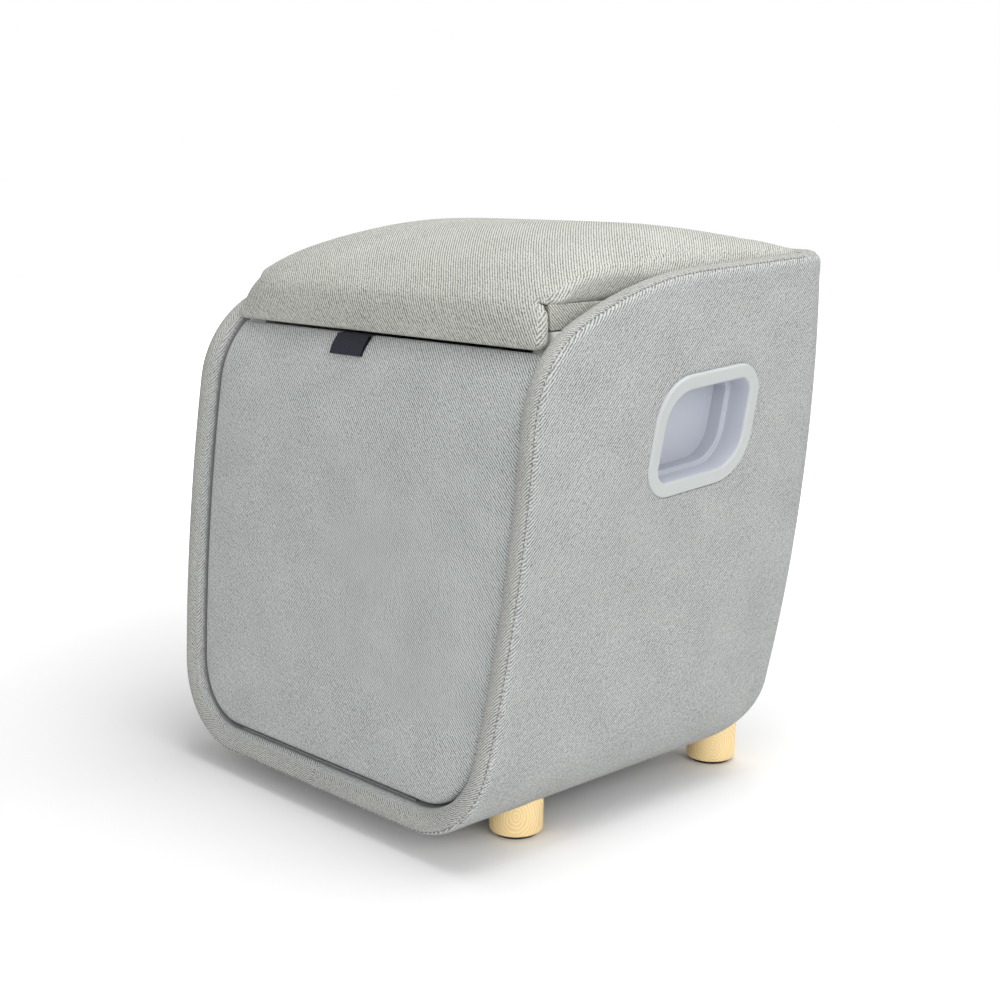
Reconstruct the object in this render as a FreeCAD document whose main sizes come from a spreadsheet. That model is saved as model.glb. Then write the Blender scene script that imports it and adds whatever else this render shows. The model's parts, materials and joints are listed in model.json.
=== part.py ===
import FreeCAD, Part
import math
import os

Vector = FreeCAD.Vector
Rotation = FreeCAD.Rotation

# Ottoman-shaped foot steam sauna: an upholstered shell on four wooden feet, with a hinged
# cushion lid, a drop-front panel, a moulded steam tub and a steam generator in its base.
# Origin: centre of the footprint on the floor. +Z up, +X to the right, the front faces -Y.
# Millimetres and degrees throughout.

DIMENSIONS = {
    # outer shell
    "top_height": 460, "base_height": 18, "front_toe": -212, "lean_angle": 7.97,
    "nose_radius": 95, "nose_height": 343, "brow_radius": 400, "top_slope": 2.6,
    "back_edge": 212, "back_lean": 7.97, "heel_radius": 80, "back_round": 36,
    "half_width": 220, "widest_height": 288, "side_radius": 1380, "corner_radius": 82,
    "cover_thick": 6, "wall_thick": 19, "fit_gap": 0.2,
    # lid and front panel
    "panel_recess": 8, "panel_gap": 2.5, "lid_side_gap": 3, "panel_thick": 26,
    "panel_foam": 14, "panel_board": 9, "split_height": 395, "split_slope": 10.7,
    "panel_base": 40, "panel_round": 8,
    "board_top": 370, "lid_crown": 483, "lid_floor": 415, "liner_thick": 3, "lid_board": 10,
    "lid_pivot_y": 167, "lid_pivot_z": 448, "lid_roll": 22, "lid_pin_radius": 3.5,
    # feet
    "foot_radius": 22.8, "foot_reach": 149.6, "foot_front": -117.3, "foot_back": 130,
    "glide_thick": 3, "glide_radius": 17, "bolt_radius": 4, "bolt_hole": 4.2,
    # handles
    "handle_y": 24.5, "handle_z": 323.5, "handle_length": 126, "handle_height": 95,
    "handle_shear": 14, "handle_rise": 3.6, "handle_big": 50, "handle_small": 22,
    "bezel_width": 12, "bezel_face": 221.5, "bezel_thick": 7, "cup_floor": 186, "cup_wall": 3,
    # steam tub and grate
    "tub_half": 172, "tub_wall": 3, "tub_floor": 150, "tub_top": 409, "tub_back": 136,
    "ledge_thick": 3, "slat_width": 24, "slat_gap": 7, "slat_thick": 10,
    "slat_length": 320, "slat_count": 8, "grate_front": -130, "batten_width": 20,
    # steam generator and water side
    "boiler_radius": 40, "boiler_wall": 2, "boiler_tall": 74, "boiler_x": 0, "boiler_y": 50,
    "base_floor": 37, "tank_long": 180, "tank_wide": 98, "tank_tall": 74, "tank_wall": 3,
    "nozzle_height": 214, "nozzle_radius": 13, "hose_radius": 3.5,
    # controls and back panel
    "button_radius": 6, "service_width": 214, "service_tall": 46,
    "service_height": 119, "fan_size": 40, "fan_depth": 15,
}


class Size(float):
    """A length that remembers the sheet cells it is worked out from."""

    def __new__(cls, value, text=None):
        size = float.__new__(cls, value)
        size.text = text or "%.6g" % float(value)
        return size

    def join(self, sign, other, result, swap=False):
        other_text = Size(other).text if not isinstance(other, Size) else other.text
        first, second = (other_text, self.text) if swap else (self.text, other_text)
        return Size(result, "(%s %s %s)" % (first, sign, second))

    def __add__(self, other):
        return self.join("+", other, float(self) + float(other))

    def __radd__(self, other):
        return self.join("+", other, float(self) + float(other), swap=True)

    def __sub__(self, other):
        return self.join("-", other, float(self) - float(other))

    def __rsub__(self, other):
        return self.join("-", other, float(other) - float(self), swap=True)

    def __mul__(self, other):
        return self.join("*", other, float(self) * float(other))

    def __rmul__(self, other):
        return self.join("*", other, float(self) * float(other), swap=True)

    def __truediv__(self, other):
        return self.join("/", other, float(self) / float(other))

    def __neg__(self):
        return Size(-float(self), "(0 - %s)" % self.text)


doc = FreeCAD.newDocument("foot_steam_sauna")
sheet = doc.addObject("Spreadsheet::Sheet", "Dims")
for row, (alias, number) in enumerate(DIMENSIONS.items(), start=1):
    sheet.set("A%d" % row, alias)
    sheet.set("B%d" % row, str(number))
    sheet.setAlias("B%d" % row, alias)
doc.recompute()
dim = {alias: Size(getattr(sheet, alias), "Dims." + alias) for alias in DIMENSIONS}
nodes = []


# ---------------------------------------------------------------- document helpers
def bind(target, prop, value):
    target.setExpression(prop, Size(value).text if not isinstance(value, Size) else value.text)


def place(target, position):
    for axis, value in zip("xyz", position):
        bind(target, "Placement.Base." + axis, value)
    return target


def block(name, low, size):
    box = doc.addObject("Part::Box", name)
    for prop, value in zip(("Length", "Width", "Height"), size):
        bind(box, prop, value)
    return place(box, low)


AXIS_TURN = {
    "x": Rotation(Vector(0, 1, 0), 90),
    "y": Rotation(Vector(1, 0, 0), -90),
    "z": Rotation(),
}


def turned(target, axis, position):
    """Points a primitive's own Z along +X, +Y or +Z and puts its start at position."""
    target.Placement = FreeCAD.Placement(Vector(), AXIS_TURN[axis])
    return place(target, position)


def rod(name, start, radius, length, axis="z"):
    cylinder = doc.addObject("Part::Cylinder", name)
    bind(cylinder, "Radius", radius)
    bind(cylinder, "Height", length)
    return turned(cylinder, axis, start)


def cone(name, start, radius_start, radius_end, length, axis="z"):
    body = doc.addObject("Part::Cone", name)
    bind(body, "Radius1", radius_start)
    bind(body, "Radius2", radius_end)
    bind(body, "Height", length)
    return turned(body, axis, start)


def hexagon(name, start, across, length, axis="z"):
    prism = doc.addObject("Part::Prism", name)
    prism.Polygon = 6
    bind(prism, "Circumradius", across / math.sqrt(3))
    bind(prism, "Height", length)
    return turned(prism, axis, start)


def fuse(name, *pieces):
    joined = doc.addObject("Part::MultiFuse", name)
    joined.Shapes = list(pieces)
    return joined


def cut(name, base, *tools):
    difference = doc.addObject("Part::Cut", name)
    difference.Base = base
    difference.Tool = tools[0] if len(tools) == 1 else fuse(name + "_tools", *tools)
    return difference


def rounded(name, base, radius, choose):
    """Fillets the edges of base whose middle point passes the test choose."""
    doc.recompute()
    fillet = doc.addObject("Part::Fillet", name)
    fillet.Base = base
    picked = []
    for number, edge in enumerate(base.Shape.Edges, start=1):
        middle = edge.valueAt((edge.FirstParameter + edge.LastParameter) / 2)
        if choose(middle, edge):
            picked.append((number, float(radius), float(radius)))
    fillet.Edges = picked
    return fillet


def solid(name, shape):
    held = doc.addObject("Part::Feature", name)
    held.Shape = shape
    return held


def keep(piece, label):
    piece.Label = label
    nodes.append(piece)
    return piece


# ---------------------------------------------------------------- outlines of the shell
LEAN = math.radians(dim["lean_angle"])
BACK_LEAN = math.radians(dim["back_lean"])
FAR = 600
OUTSIDE = 400


def front_line(height, inset=0):
    """Y of the leaning front plane at a height, moved inwards by inset."""
    return dim["front_toe"] + (height - dim["base_height"]) * math.tan(LEAN) + inset / math.cos(LEAN)


def back_line(height, inset=0):
    """Y of the leaning back plane at a height, moved inwards by inset."""
    drop = (dim["top_height"] - height) * math.tan(BACK_LEAN)
    return dim["back_edge"] - drop - inset / math.cos(BACK_LEAN)


NOSE = (
    float(front_line(dim["nose_height"]) + dim["nose_radius"] * math.cos(LEAN)),
    float(dim["nose_height"] - dim["nose_radius"] * math.sin(LEAN)),
)


def brow_centre():
    """Centre of the long arc that joins the nose arc to the straight top edge."""
    slope = math.radians(dim["top_slope"])
    reach = float(dim["brow_radius"])
    start = (
        dim["back_edge"] + reach * math.sin(slope) - NOSE[0],
        dim["top_height"] - reach * math.cos(slope) - NOSE[1],
    )
    along = start[0] * math.cos(slope) + start[1] * math.sin(slope)
    gap = reach - dim["nose_radius"]
    step = along - math.sqrt(along**2 - start[0] ** 2 - start[1] ** 2 + gap**2)
    return (
        NOSE[0] + start[0] - step * math.cos(slope),
        NOSE[1] + start[1] - step * math.sin(slope),
    )


BROW = brow_centre()
HEEL_Z = float(dim["base_height"] + dim["heel_radius"])
HEEL = (float(back_line(HEEL_Z, dim["heel_radius"])), HEEL_Z)
SIDE_X = float(dim["half_width"] - dim["side_radius"])
CORNER_Z = float(dim["base_height"] + dim["corner_radius"])
CORNER_X = SIDE_X + math.sqrt(
    (dim["side_radius"] - dim["corner_radius"]) ** 2 - (CORNER_Z - dim["widest_height"]) ** 2
)


def nose_y(radius, height):
    """Y of a circle about the nose centre, on its front side, at a height."""
    return NOSE[0] - math.sqrt(float(radius) ** 2 - (height - NOSE[1]) ** 2)


def side_point(y, z):
    return Vector(-OUTSIDE, y, z)


def front_point(x, z):
    return Vector(x, -OUTSIDE, z)


def line(point, first, second):
    return Part.makeLine(point(*first), point(*second))


def arc(point, centre, radius, start, stop):
    angles = (start, (start + stop) / 2, stop)
    return Part.Arc(*[point(*ends(centre, radius, angle)) for angle in angles]).toShape()


def ends(centre, radius, angle):
    return (centre[0] + radius * math.cos(angle), centre[1] + radius * math.sin(angle))


def across(edges):
    """A prism the full width of the shell, from an outline in the side view."""
    return Part.Face(Part.Wire(edges)).extrude(Vector(2 * OUTSIDE, 0, 0))


def through(edges):
    """A prism the full depth of the shell, from an outline in the front view."""
    return Part.Face(Part.Wire(edges)).extrude(Vector(0, 2 * OUTSIDE, 0))


def polygon(corners):
    """Straight edges between side-view corners, closed."""
    return [line(side_point, a, b) for a, b in zip(corners, corners[1:] + corners[:1])]


def side_outline(inset):
    inset = float(inset)
    slope = math.radians(dim["top_slope"])
    nose, brow, heel = (float(dim[key]) - inset for key in ("nose_radius", "brow_radius", "heel_radius"))
    meet = math.atan2(NOSE[1] - BROW[1], NOSE[0] - BROW[0])
    floor = float(dim["base_height"]) + inset
    toe = (float(front_line(floor, inset)), floor)
    crest = ends(BROW, brow, math.pi / 2 + slope)
    rise = math.tan(slope)
    lean = math.tan(BACK_LEAN)
    foot = float(back_line(0, inset))
    top_z = (crest[1] + (foot - crest[0]) * rise) / (1 - lean * rise)
    tail = (foot + top_z * lean, top_z)
    return [
        line(side_point, toe, ends(NOSE, nose, math.pi - LEAN)),
        arc(side_point, NOSE, nose, math.pi - LEAN, meet),
        arc(side_point, BROW, brow, meet, math.pi / 2 + slope),
        line(side_point, crest, tail),
        line(side_point, tail, ends(HEEL, heel, -BACK_LEAN)),
        arc(side_point, HEEL, heel, -BACK_LEAN, -math.pi / 2),
        line(side_point, ends(HEEL, heel, -math.pi / 2), toe),
    ]


def cavity_outline(inset):
    heel = float(dim["heel_radius"]) - float(inset)
    floor = float(dim["base_height"]) + float(inset)
    return [
        line(side_point, (-FAR, floor), ends(HEEL, heel, -math.pi / 2)),
        arc(side_point, HEEL, heel, -math.pi / 2, -BACK_LEAN),
        line(side_point, ends(HEEL, heel, -BACK_LEAN), (float(back_line(FAR, inset)), FAR)),
        line(side_point, (float(back_line(FAR, inset)), FAR), (-FAR, FAR)),
        line(side_point, (-FAR, FAR), (-FAR, floor)),
    ]


def front_outline(inset):
    side = float(dim["side_radius"]) - float(inset)
    corner = float(dim["corner_radius"]) - float(inset)
    low = math.atan2(CORNER_Z - dim["widest_height"], CORNER_X - SIDE_X)
    high = math.asin((FAR - dim["widest_height"]) / side)
    edges = []
    for mirror in (1, -1):

        def point(x, z):
            return front_point(mirror * x, z)

        edges.append(arc(point, (SIDE_X, float(dim["widest_height"])), side, high, low))
        edges.append(arc(point, (CORNER_X, CORNER_Z), corner, low, -math.pi / 2))
        edges.append(line(point, ends((CORNER_X, CORNER_Z), corner, -math.pi / 2), (0, CORNER_Z - corner)))
        edges.append(line(point, ends((SIDE_X, float(dim["widest_height"])), side, high), (0, FAR)))
    return Part.__sortEdges__(edges)


def leaf(inset):
    """The shell's outer form, moved inwards by inset, its two back corners rounded down to the heel."""
    form = across(side_outline(inset)).common(through(front_outline(inset)))
    picked = []
    for edge in form.Edges:
        middle = edge.valueAt((edge.FirstParameter + edge.LastParameter) / 2)
        if middle.y > HEEL[0] and abs(middle.x) > CORNER_X and edge.Curve.TypeId != "Part::GeomLine":
            if middle.z < dim["top_height"] / 2 + HEEL_Z:
                picked.append(edge)
    return form.makeFillet(float(dim["back_round"] - inset), picked)


def cavity(inset):
    """The space inside the shell: open at the front and the top."""
    return across(cavity_outline(inset)).common(through(front_outline(inset)))


def lean_slab(near, far, low, high):
    """A slab parallel to the front plane, between two insets and two heights."""
    corners = [(low, near), (low, far), (high, far), (high, near)]
    return across(polygon([(float(front_line(z, inset)), float(z)) for z, inset in corners]))


def rounded_polygon(point, corners, radii):
    """A closed outline of straight sides with a round corner at each point."""
    count = len(corners)
    starts, stops, middles = [], [], []
    for index, (corner, radius) in enumerate(zip(corners, radii)):
        spot = Vector(corner[0], corner[1], 0)
        before = (Vector(*corners[index - 1], 0) - spot).normalize()
        after = (Vector(*corners[(index + 1) % count], 0) - spot).normalize()
        half = before.getAngle(after) / 2
        inward = (before + after).normalize()
        starts.append(spot + before * (radius / math.tan(half)))
        stops.append(spot + after * (radius / math.tan(half)))
        middles.append(spot + inward * (radius / math.sin(half) - radius))
    edges = []
    for index in range(count):
        turn = [point(p.x, p.y) for p in (starts[index], middles[index], stops[index])]
        edges.append(Part.Arc(*turn).toShape())
        following = starts[(index + 1) % count]
        edges.append(Part.makeLine(turn[2], point(following.x, following.y)))
    return Part.Wire(edges)


def pipe(stations, bend, radius, bore=0):
    """A tube along straight runs with round bends."""
    edges = []
    last = Vector(*stations[0])
    for index in range(1, len(stations) - 1):
        corner = Vector(*stations[index])
        back = (Vector(*stations[index - 1]) - corner).normalize()
        ahead = (Vector(*stations[index + 1]) - corner).normalize()
        half = back.getAngle(ahead) / 2
        start = corner + back * (bend / math.tan(half))
        stop = corner + ahead * (bend / math.tan(half))
        middle = corner + (back + ahead).normalize() * (bend / math.sin(half) - bend)
        edges.append(Part.makeLine(last, start))
        edges.append(Part.Arc(start, middle, stop).toShape())
        last = stop
    edges.append(Part.makeLine(last, Vector(*stations[-1])))
    path = Part.Wire(edges)
    along = Vector(*stations[1]) - Vector(*stations[0])
    sweeps = []
    for size in (radius, bore):
        if size > 0:
            ring = Part.Wire(Part.makeCircle(float(size), Vector(*stations[0]), along))
            sweeps.append(path.makePipeShell([ring], True, False))
    return sweeps[0].cut(sweeps[1]) if len(sweeps) == 2 else sweeps[0]


# ---------------------------------------------------------------- handles
def handle_outline(inset, start_x):
    """The slanted, round-cornered opening of a handle, in a plane across X."""
    rise = math.tan(math.radians(dim["handle_rise"]))
    shear = math.tan(math.radians(dim["handle_shear"]))
    along = Vector(dim["handle_length"], dim["handle_length"] * rise, 0)
    up = Vector(dim["handle_height"] * shear, dim["handle_height"], 0)
    middle = Vector(dim["handle_y"], dim["handle_z"], 0)
    corners = [middle + along * a / 2 + up * b / 2 for a, b in ((-1, -1), (1, -1), (1, 1), (-1, 1))]
    small, big = float(dim["handle_small"]), float(dim["handle_big"])

    def point(y, z):
        return Vector(float(start_x), y, z)

    wire = rounded_polygon(point, [(c.x, c.y) for c in corners], (small, big, small, big))
    return wire.makeOffset2D(-float(inset)) if inset else wire


def handle_block(inset, start_x, stop_x):
    return Part.Face(handle_outline(inset, start_x)).extrude(Vector(float(stop_x) - float(start_x), 0, 0))


def soften(form, radius, *planes):
    """Fillets the edges that lie in the given planes across X."""
    picked = []
    for edge in form.Edges:
        span = edge.BoundBox
        if any(abs(span.XMin - x) < 0.01 and abs(span.XMax - x) < 0.01 for x in planes):
            picked.append(edge)
    return form.makeFillet(radius, picked)


STEP_DEPTH = 22
STEP_INSET = 4


def handle_form():
    """One moulded grip: a flat bezel with a stepped cup behind it."""
    face = float(dim["bezel_face"])
    back = face - dim["bezel_thick"]
    floor = float(dim["cup_floor"])
    rim = dim["bezel_width"]
    bezel = handle_block(0, back, face)
    cup = handle_block(rim - dim["cup_wall"], floor - dim["cup_wall"], back + 1)
    upper = handle_block(rim, face - STEP_DEPTH, face + 1)
    lower = handle_block(rim + STEP_INSET, floor, face)
    grip = bezel.fuse(cup).cut(upper).cut(lower).removeSplitter()
    grip = soften(grip, 2.5, face)
    return soften(grip, 1.5, face - STEP_DEPTH)


def handle_opening():
    back = float(dim["bezel_face"]) - dim["bezel_thick"]
    pocket = handle_block(-dim["fit_gap"], back - dim["fit_gap"], OUTSIDE)
    passage = handle_block(dim["bezel_width"] - dim["cup_wall"] - dim["fit_gap"], 100, OUTSIDE)
    return pocket.fuse(passage)


def mirrored(form):
    return form.mirror(Vector(), Vector(1, 0, 0))


grip = handle_form()
keep(solid("grip_right", grip), "handle_right")
keep(solid("grip_left", mirrored(grip)), "handle_left")


# ---------------------------------------------------------------- shell and feet
def service_frame():
    """Local frame of the back panel: origin on the back plane, local Y out of the shell."""
    height = dim["service_height"]
    turn = Rotation(Vector(1, 0, 0), -float(dim["back_lean"]))
    return FreeCAD.Placement(Vector(0, float(back_line(height)), float(height)), turn)


def service_box(wide, tall, start, stop, shift_x=0):
    """A box through the back panel, sized in the panel's own frame."""
    form = Part.makeBox(wide, stop - start, tall, Vector(shift_x - wide / 2, start, -tall / 2))
    form.Placement = service_frame()
    return form


FOOT_PLACES = [
    (side * dim["foot_reach"], depth) for side in (-1, 1) for depth in (dim["foot_front"], dim["foot_back"])
]
BOLT_FROM = 10
NUT_SEAT = {float(dim["foot_front"]): 50, float(dim["foot_back"]): 78}
DRAIN = (-110, -28)
DRAIN_RADIUS = 11
PIN_SEAT = 203

bolt_holes = [
    Part.makeCylinder(float(dim["bolt_hole"]), 90, Vector(float(x), float(y), BOLT_FROM - 1))
    for x, y in FOOT_PLACES
]
pin_hole = Part.makeCylinder(
    float(dim["lid_pin_radius"]) + 0.05,
    2 * PIN_SEAT,
    Vector(-PIN_SEAT, float(dim["lid_pivot_y"]), float(dim["lid_pivot_z"])),
    Vector(1, 0, 0),
)
drain_hole = Part.makeCylinder(DRAIN_RADIUS + 1.5, 60, Vector(DRAIN[0], DRAIN[1], 0))
openings = [handle_opening(), mirrored(handle_opening()), drain_hole, *bolt_holes]
REBATE = 6.2
SERVICE_RIM = 9
SCREW_X, SCREW_Z = 102, 18.5
SCREW_HOLE = 1.7
service_wide, service_tall = float(dim["service_width"]), float(dim["service_tall"])
openings.append(service_box(service_wide, service_tall, -REBATE, 60))
openings.append(service_box(service_wide - 2 * SERVICE_RIM, service_tall - 2 * SERVICE_RIM + 8, -60, 60))


def service_rod(x, z, radius, start, stop):
    """A cylinder square to the back panel, placed in the panel's own frame."""
    form = Part.makeCylinder(radius, stop - start, Vector(x, start, z), Vector(0, 1, 0))
    form.Placement = service_frame()
    return form


SCREW_PLACES = [(x, z) for x in (-SCREW_X, SCREW_X) for z in (-SCREW_Z, SCREW_Z)]
openings += [service_rod(x, z, SCREW_HOLE, -17, 0) for x, z in SCREW_PLACES]
inside = cavity(dim["wall_thick"])

cover = leaf(0).cut(inside).cut(leaf(dim["cover_thick"])).cut(openings)
keep(solid("cover_form", cover.removeSplitter()), "shell_cover")
carcass = leaf(dim["cover_thick"] + dim["fit_gap"]).cut(inside).cut(openings).cut(pin_hole)
keep(solid("carcass_form", carcass.removeSplitter()), "shell_carcass")

FOOT_TOP = 84
foot_cones = [
    cone("foot_cone", (x, y, dim["glide_thick"]), dim["foot_radius"] - 0.8, dim["foot_radius"] + 0.8,
         FOOT_TOP - dim["glide_thick"])
    for x, y in FOOT_PLACES
]
shell_form = solid("shell_form", leaf(-dim["fit_gap"]))
foot_bores = [rod("foot_bore", (x, y, BOLT_FROM - 1), dim["bolt_hole"], FOOT_TOP) for x, y in FOOT_PLACES]
scribed = cut("scribed_feet", fuse("foot_blanks", *foot_cones), fuse("foot_tools", shell_form, *foot_bores))
keep(rounded("turned_feet", scribed, 2.5, lambda middle, edge: middle.z < dim["glide_thick"] + 0.5),
     "wooden_feet")
keep(fuse("glides", *[rod("glide", (x, y, 0), dim["glide_radius"], dim["glide_thick"] - 0.1)
                      for x, y in FOOT_PLACES]), "foot_glides")

HEAD_TALL = 5.3
HEAD_ACROSS = 13
shanks = []
for x, y in FOOT_PLACES:
    seat = NUT_SEAT[float(y)]
    shanks.append(rod("shank", (x, y, BOLT_FROM), dim["bolt_radius"], seat - BOLT_FROM))
    shanks.append(hexagon("bolt_head", (x, y, seat), HEAD_ACROSS, HEAD_TALL))
keep(fuse("bolts", *shanks), "foot_bolts")
BLOCK = 44
blocks = []
for x, y in FOOT_PLACES:
    seat = NUT_SEAT[float(y)] - 0.1
    blocks.append(Part.makeBox(BLOCK, BLOCK, seat, Vector(float(x) - BLOCK / 2, float(y) - BLOCK / 2, 0)))
seats = blocks[0].fuse(blocks[1:]).common(cavity(dim["wall_thick"] + dim["fit_gap"])).cut(bolt_holes)
keep(solid("seat_blocks", seats), "foot_seat_blocks")


# ---------------------------------------------------------------- drop-front panel
SPLIT_FALL = math.tan(math.radians(dim["split_slope"]))
SPLIT_Y = nose_y(dim["nose_radius"] - dim["panel_recess"], dim["split_height"])
HALF_SPLIT = 1.5
PANEL_BACK = float(dim["panel_recess"] + dim["panel_thick"])
LINER_FROM = PANEL_BACK - float(dim["liner_thick"])
BOARD_FROM = float(dim["panel_recess"] + dim["panel_foam"])


def split_z(y, offset):
    """Height of the sloping joint between lid and front panel, at a depth."""
    return float(dim["split_height"]) + offset - (y - SPLIT_Y) * SPLIT_FALL


def on_plane(inset, offset):
    """Where the joint meets a plane parallel to the front."""
    low = float(front_line(0, inset))
    lean = math.tan(LEAN)
    z = (split_z(0, offset) - low * SPLIT_FALL) / (1 + lean * SPLIT_FALL)
    return (low + z * lean, z)


def panel_form():
    radius = float(dim["nose_radius"] - dim["panel_recess"])
    base = float(dim["panel_base"])
    top_z = float(dim["split_height"]) - HALF_SPLIT
    top = (nose_y(radius, top_z), top_z)
    toe = (float(front_line(base, dim["panel_recess"])), base)
    turn = math.atan2(top[1] - NOSE[1], top[0] - NOSE[0])
    heel = (float(front_line(base, PANEL_BACK)), base)
    crest = on_plane(PANEL_BACK, -HALF_SPLIT)
    outline = [
        line(side_point, toe, ends(NOSE, radius, math.pi - LEAN)),
        arc(side_point, NOSE, radius, math.pi - LEAN, turn),
        line(side_point, top, crest),
        line(side_point, crest, heel),
        line(side_point, heel, toe),
    ]
    edge = dim["wall_thick"] + dim["panel_gap"]
    form = across(outline).common(through(front_outline(edge)))
    rim = []
    for seam in form.Edges:
        middle = seam.valueAt((seam.FirstParameter + seam.LastParameter) / 2)
        if middle.z > dim["nose_height"] + 2:
            on_front = abs(math.hypot(middle.y - NOSE[0], middle.z - NOSE[1]) - radius) < 0.5
        else:
            on_front = middle.y < float(front_line(middle.z, dim["panel_recess"])) + 0.5
        is_seam = abs(middle.x) < 1 and middle.z > base + 5
        if on_front and not is_seam:
            rim.append(seam)
    return form.makeFillet(float(dim["panel_round"]), rim)


panel = panel_form()
liner_zone = lean_slab(LINER_FROM, PANEL_BACK + 1, 0, FAR)
gap = float(dim["fit_gap"])
board_top = float(dim["board_top"])
panel_foam = panel.cut(lean_slab(LINER_FROM - gap, PANEL_BACK + 1, 0, FAR))
panel_foam = panel_foam.cut(lean_slab(BOARD_FROM - gap, PANEL_BACK, 0, board_top + gap))
keep(solid("panel_cushion", panel_foam), "front_cushion")
keep(solid("panel_board", panel.common(lean_slab(BOARD_FROM, LINER_FROM - gap, 0, board_top))), "front_board")
MAGNET = (187, 340)
MAGNET_RADIUS = 5


def magnet_discs(radius, near, depth):
    """A pair of discs square to the front plane, one near each side."""
    across_panel = Vector(0, math.cos(LEAN), -math.sin(LEAN))
    y = float(front_line(MAGNET[1], near))
    return [Part.makeCylinder(radius, depth, Vector(side * MAGNET[0], y, MAGNET[1]), across_panel)
            for side in (-1, 1)]


MAGNET_FROM = LINER_FROM + 0.3
liner = panel.common(liner_zone).cut(magnet_discs(MAGNET_RADIUS + 0.1, MAGNET_FROM - 0.1, 5))
keep(solid("panel_liner", liner), "front_liner")
magnets = magnet_discs(MAGNET_RADIUS, MAGNET_FROM, 2.5)
keep(solid("magnet_pair", magnets[0].fuse(magnets[1])), "front_magnets")

# ---------------------------------------------------------------- lid
PIVOT = (float(dim["lid_pivot_y"]), float(dim["lid_pivot_z"]))
ROLL = float(dim["lid_roll"])
LID_NOSE = -3
LID_SHOULDER = 20
LID_BOARD_HALF = 184


def lid_form():
    """The crowned cushion: a skirt down to the front panel, and a roll about the hinge."""
    start_z = float(dim["split_height"]) + HALF_SPLIT
    start = (nose_y(float(dim["nose_radius"]) + LID_NOSE, start_z), start_z)
    crown = float(dim["lid_crown"])
    curve = Part.BSplineCurve()
    waypoints = [start, (-136, 429), (-108, 453), (-58, 471), (22, crown), (102, crown - 3)]
    waypoints.append((PIVOT[0], PIVOT[1] + ROLL))
    curve.interpolate([side_point(*spot) for spot in waypoints])
    board_z = float(dim["lid_floor"] + dim["liner_thick"] + dim["lid_board"]) + gap
    skirt_top = (float(front_line(board_z, PANEL_BACK)), board_z)
    skirt_end = on_plane(PANEL_BACK, HALF_SPLIT)
    step = PIVOT[0] - ROLL
    outline = [
        curve.toShape(),
        arc(side_point, PIVOT, ROLL, math.pi / 2, -math.pi / 2),
        line(side_point, (PIVOT[0], PIVOT[1] - ROLL), (step, PIVOT[1] - ROLL)),
        line(side_point, (step, PIVOT[1] - ROLL), (step, board_z)),
        line(side_point, (step, board_z), skirt_top),
        line(side_point, skirt_top, skirt_end),
        line(side_point, skirt_end, start),
    ]
    form = across(outline).common(through(front_outline(dim["wall_thick"] + dim["lid_side_gap"])))
    brow = []
    for edge in form.Edges:
        middle = edge.valueAt((edge.FirstParameter + edge.LastParameter) / 2)
        if abs(middle.x) > LID_BOARD_HALF and middle.z > PIVOT[1] + LID_SHOULDER / 2:
            brow.append(edge)
    return form.makeFillet(LID_SHOULDER, brow)


ARM_X = 178
ARM_THICK = 4
BUSH_RADIUS = 9
ARM_FRONT = 30
LID_BOARD_BACK = 143
pocket_low = float(dim["lid_floor"] + dim["liner_thick"] + dim["lid_board"])
arm_pocket = Part.makeBox(40, ARM_FRONT + BUSH_RADIUS + 4, PIVOT[1] + BUSH_RADIUS + 2 - pocket_low,
                          Vector(ARM_X - 8, PIVOT[0] - ARM_FRONT - 2, pocket_low))
swing_relief = Part.makeBox(OUTSIDE, OUTSIDE, 445, Vector(189, -93, 0))
lid_cuts = [arm_pocket, mirrored(arm_pocket), swing_relief, mirrored(swing_relief)]
keep(solid("lid_pad", lid_form().cut(lid_cuts)), "lid_cushion")

lid_front = front_line(dim["lid_floor"], PANEL_BACK) + 4
lid_depth = LID_BOARD_BACK - lid_front
keep(block("lid_panel", (-LID_BOARD_HALF, lid_front, dim["lid_floor"] + dim["liner_thick"]),
           (2 * LID_BOARD_HALF, lid_depth, dim["lid_board"])), "lid_board")
LINER_GAP = 0.1
keep(block("lid_lining", (4 - LID_BOARD_HALF, lid_front, dim["lid_floor"]),
           (2 * LID_BOARD_HALF - 8, lid_depth, dim["liner_thick"] - LINER_GAP)), "lid_liner")

arm_pieces = []
bores = []
for side in (-1, 1):
    arm_x = side * (ARM_X + ARM_THICK / 2) - ARM_THICK / 2
    arm_low = dim["lid_floor"] + dim["liner_thick"] + dim["lid_board"] + LINER_GAP
    arm_pieces.append(block("arm", (arm_x, dim["lid_pivot_y"] - ARM_FRONT, arm_low),
                            (ARM_THICK, ARM_FRONT, dim["lid_pivot_z"] - arm_low)))
    arm_pieces.append(rod("bush", (arm_x - 1.5, dim["lid_pivot_y"], dim["lid_pivot_z"]), BUSH_RADIUS,
                          ARM_THICK + 3, "x"))
    bores.append(rod("bush_bore", (arm_x - 5, dim["lid_pivot_y"], dim["lid_pivot_z"]),
                     dim["lid_pin_radius"] + 0.05, ARM_THICK + 10, "x"))
keep(cut("arms", fuse("arm_blanks", *arm_pieces), *bores), "lid_hinge_arms")
PIN_START = 174
keep(fuse("pins", *[rod("pin", (start, dim["lid_pivot_y"], dim["lid_pivot_z"]), dim["lid_pin_radius"],
                        PIN_SEAT - PIN_START - 0.5, "x") for start in (PIN_START, -PIN_SEAT + 0.5)]),
     "lid_hinge_pins")

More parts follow.
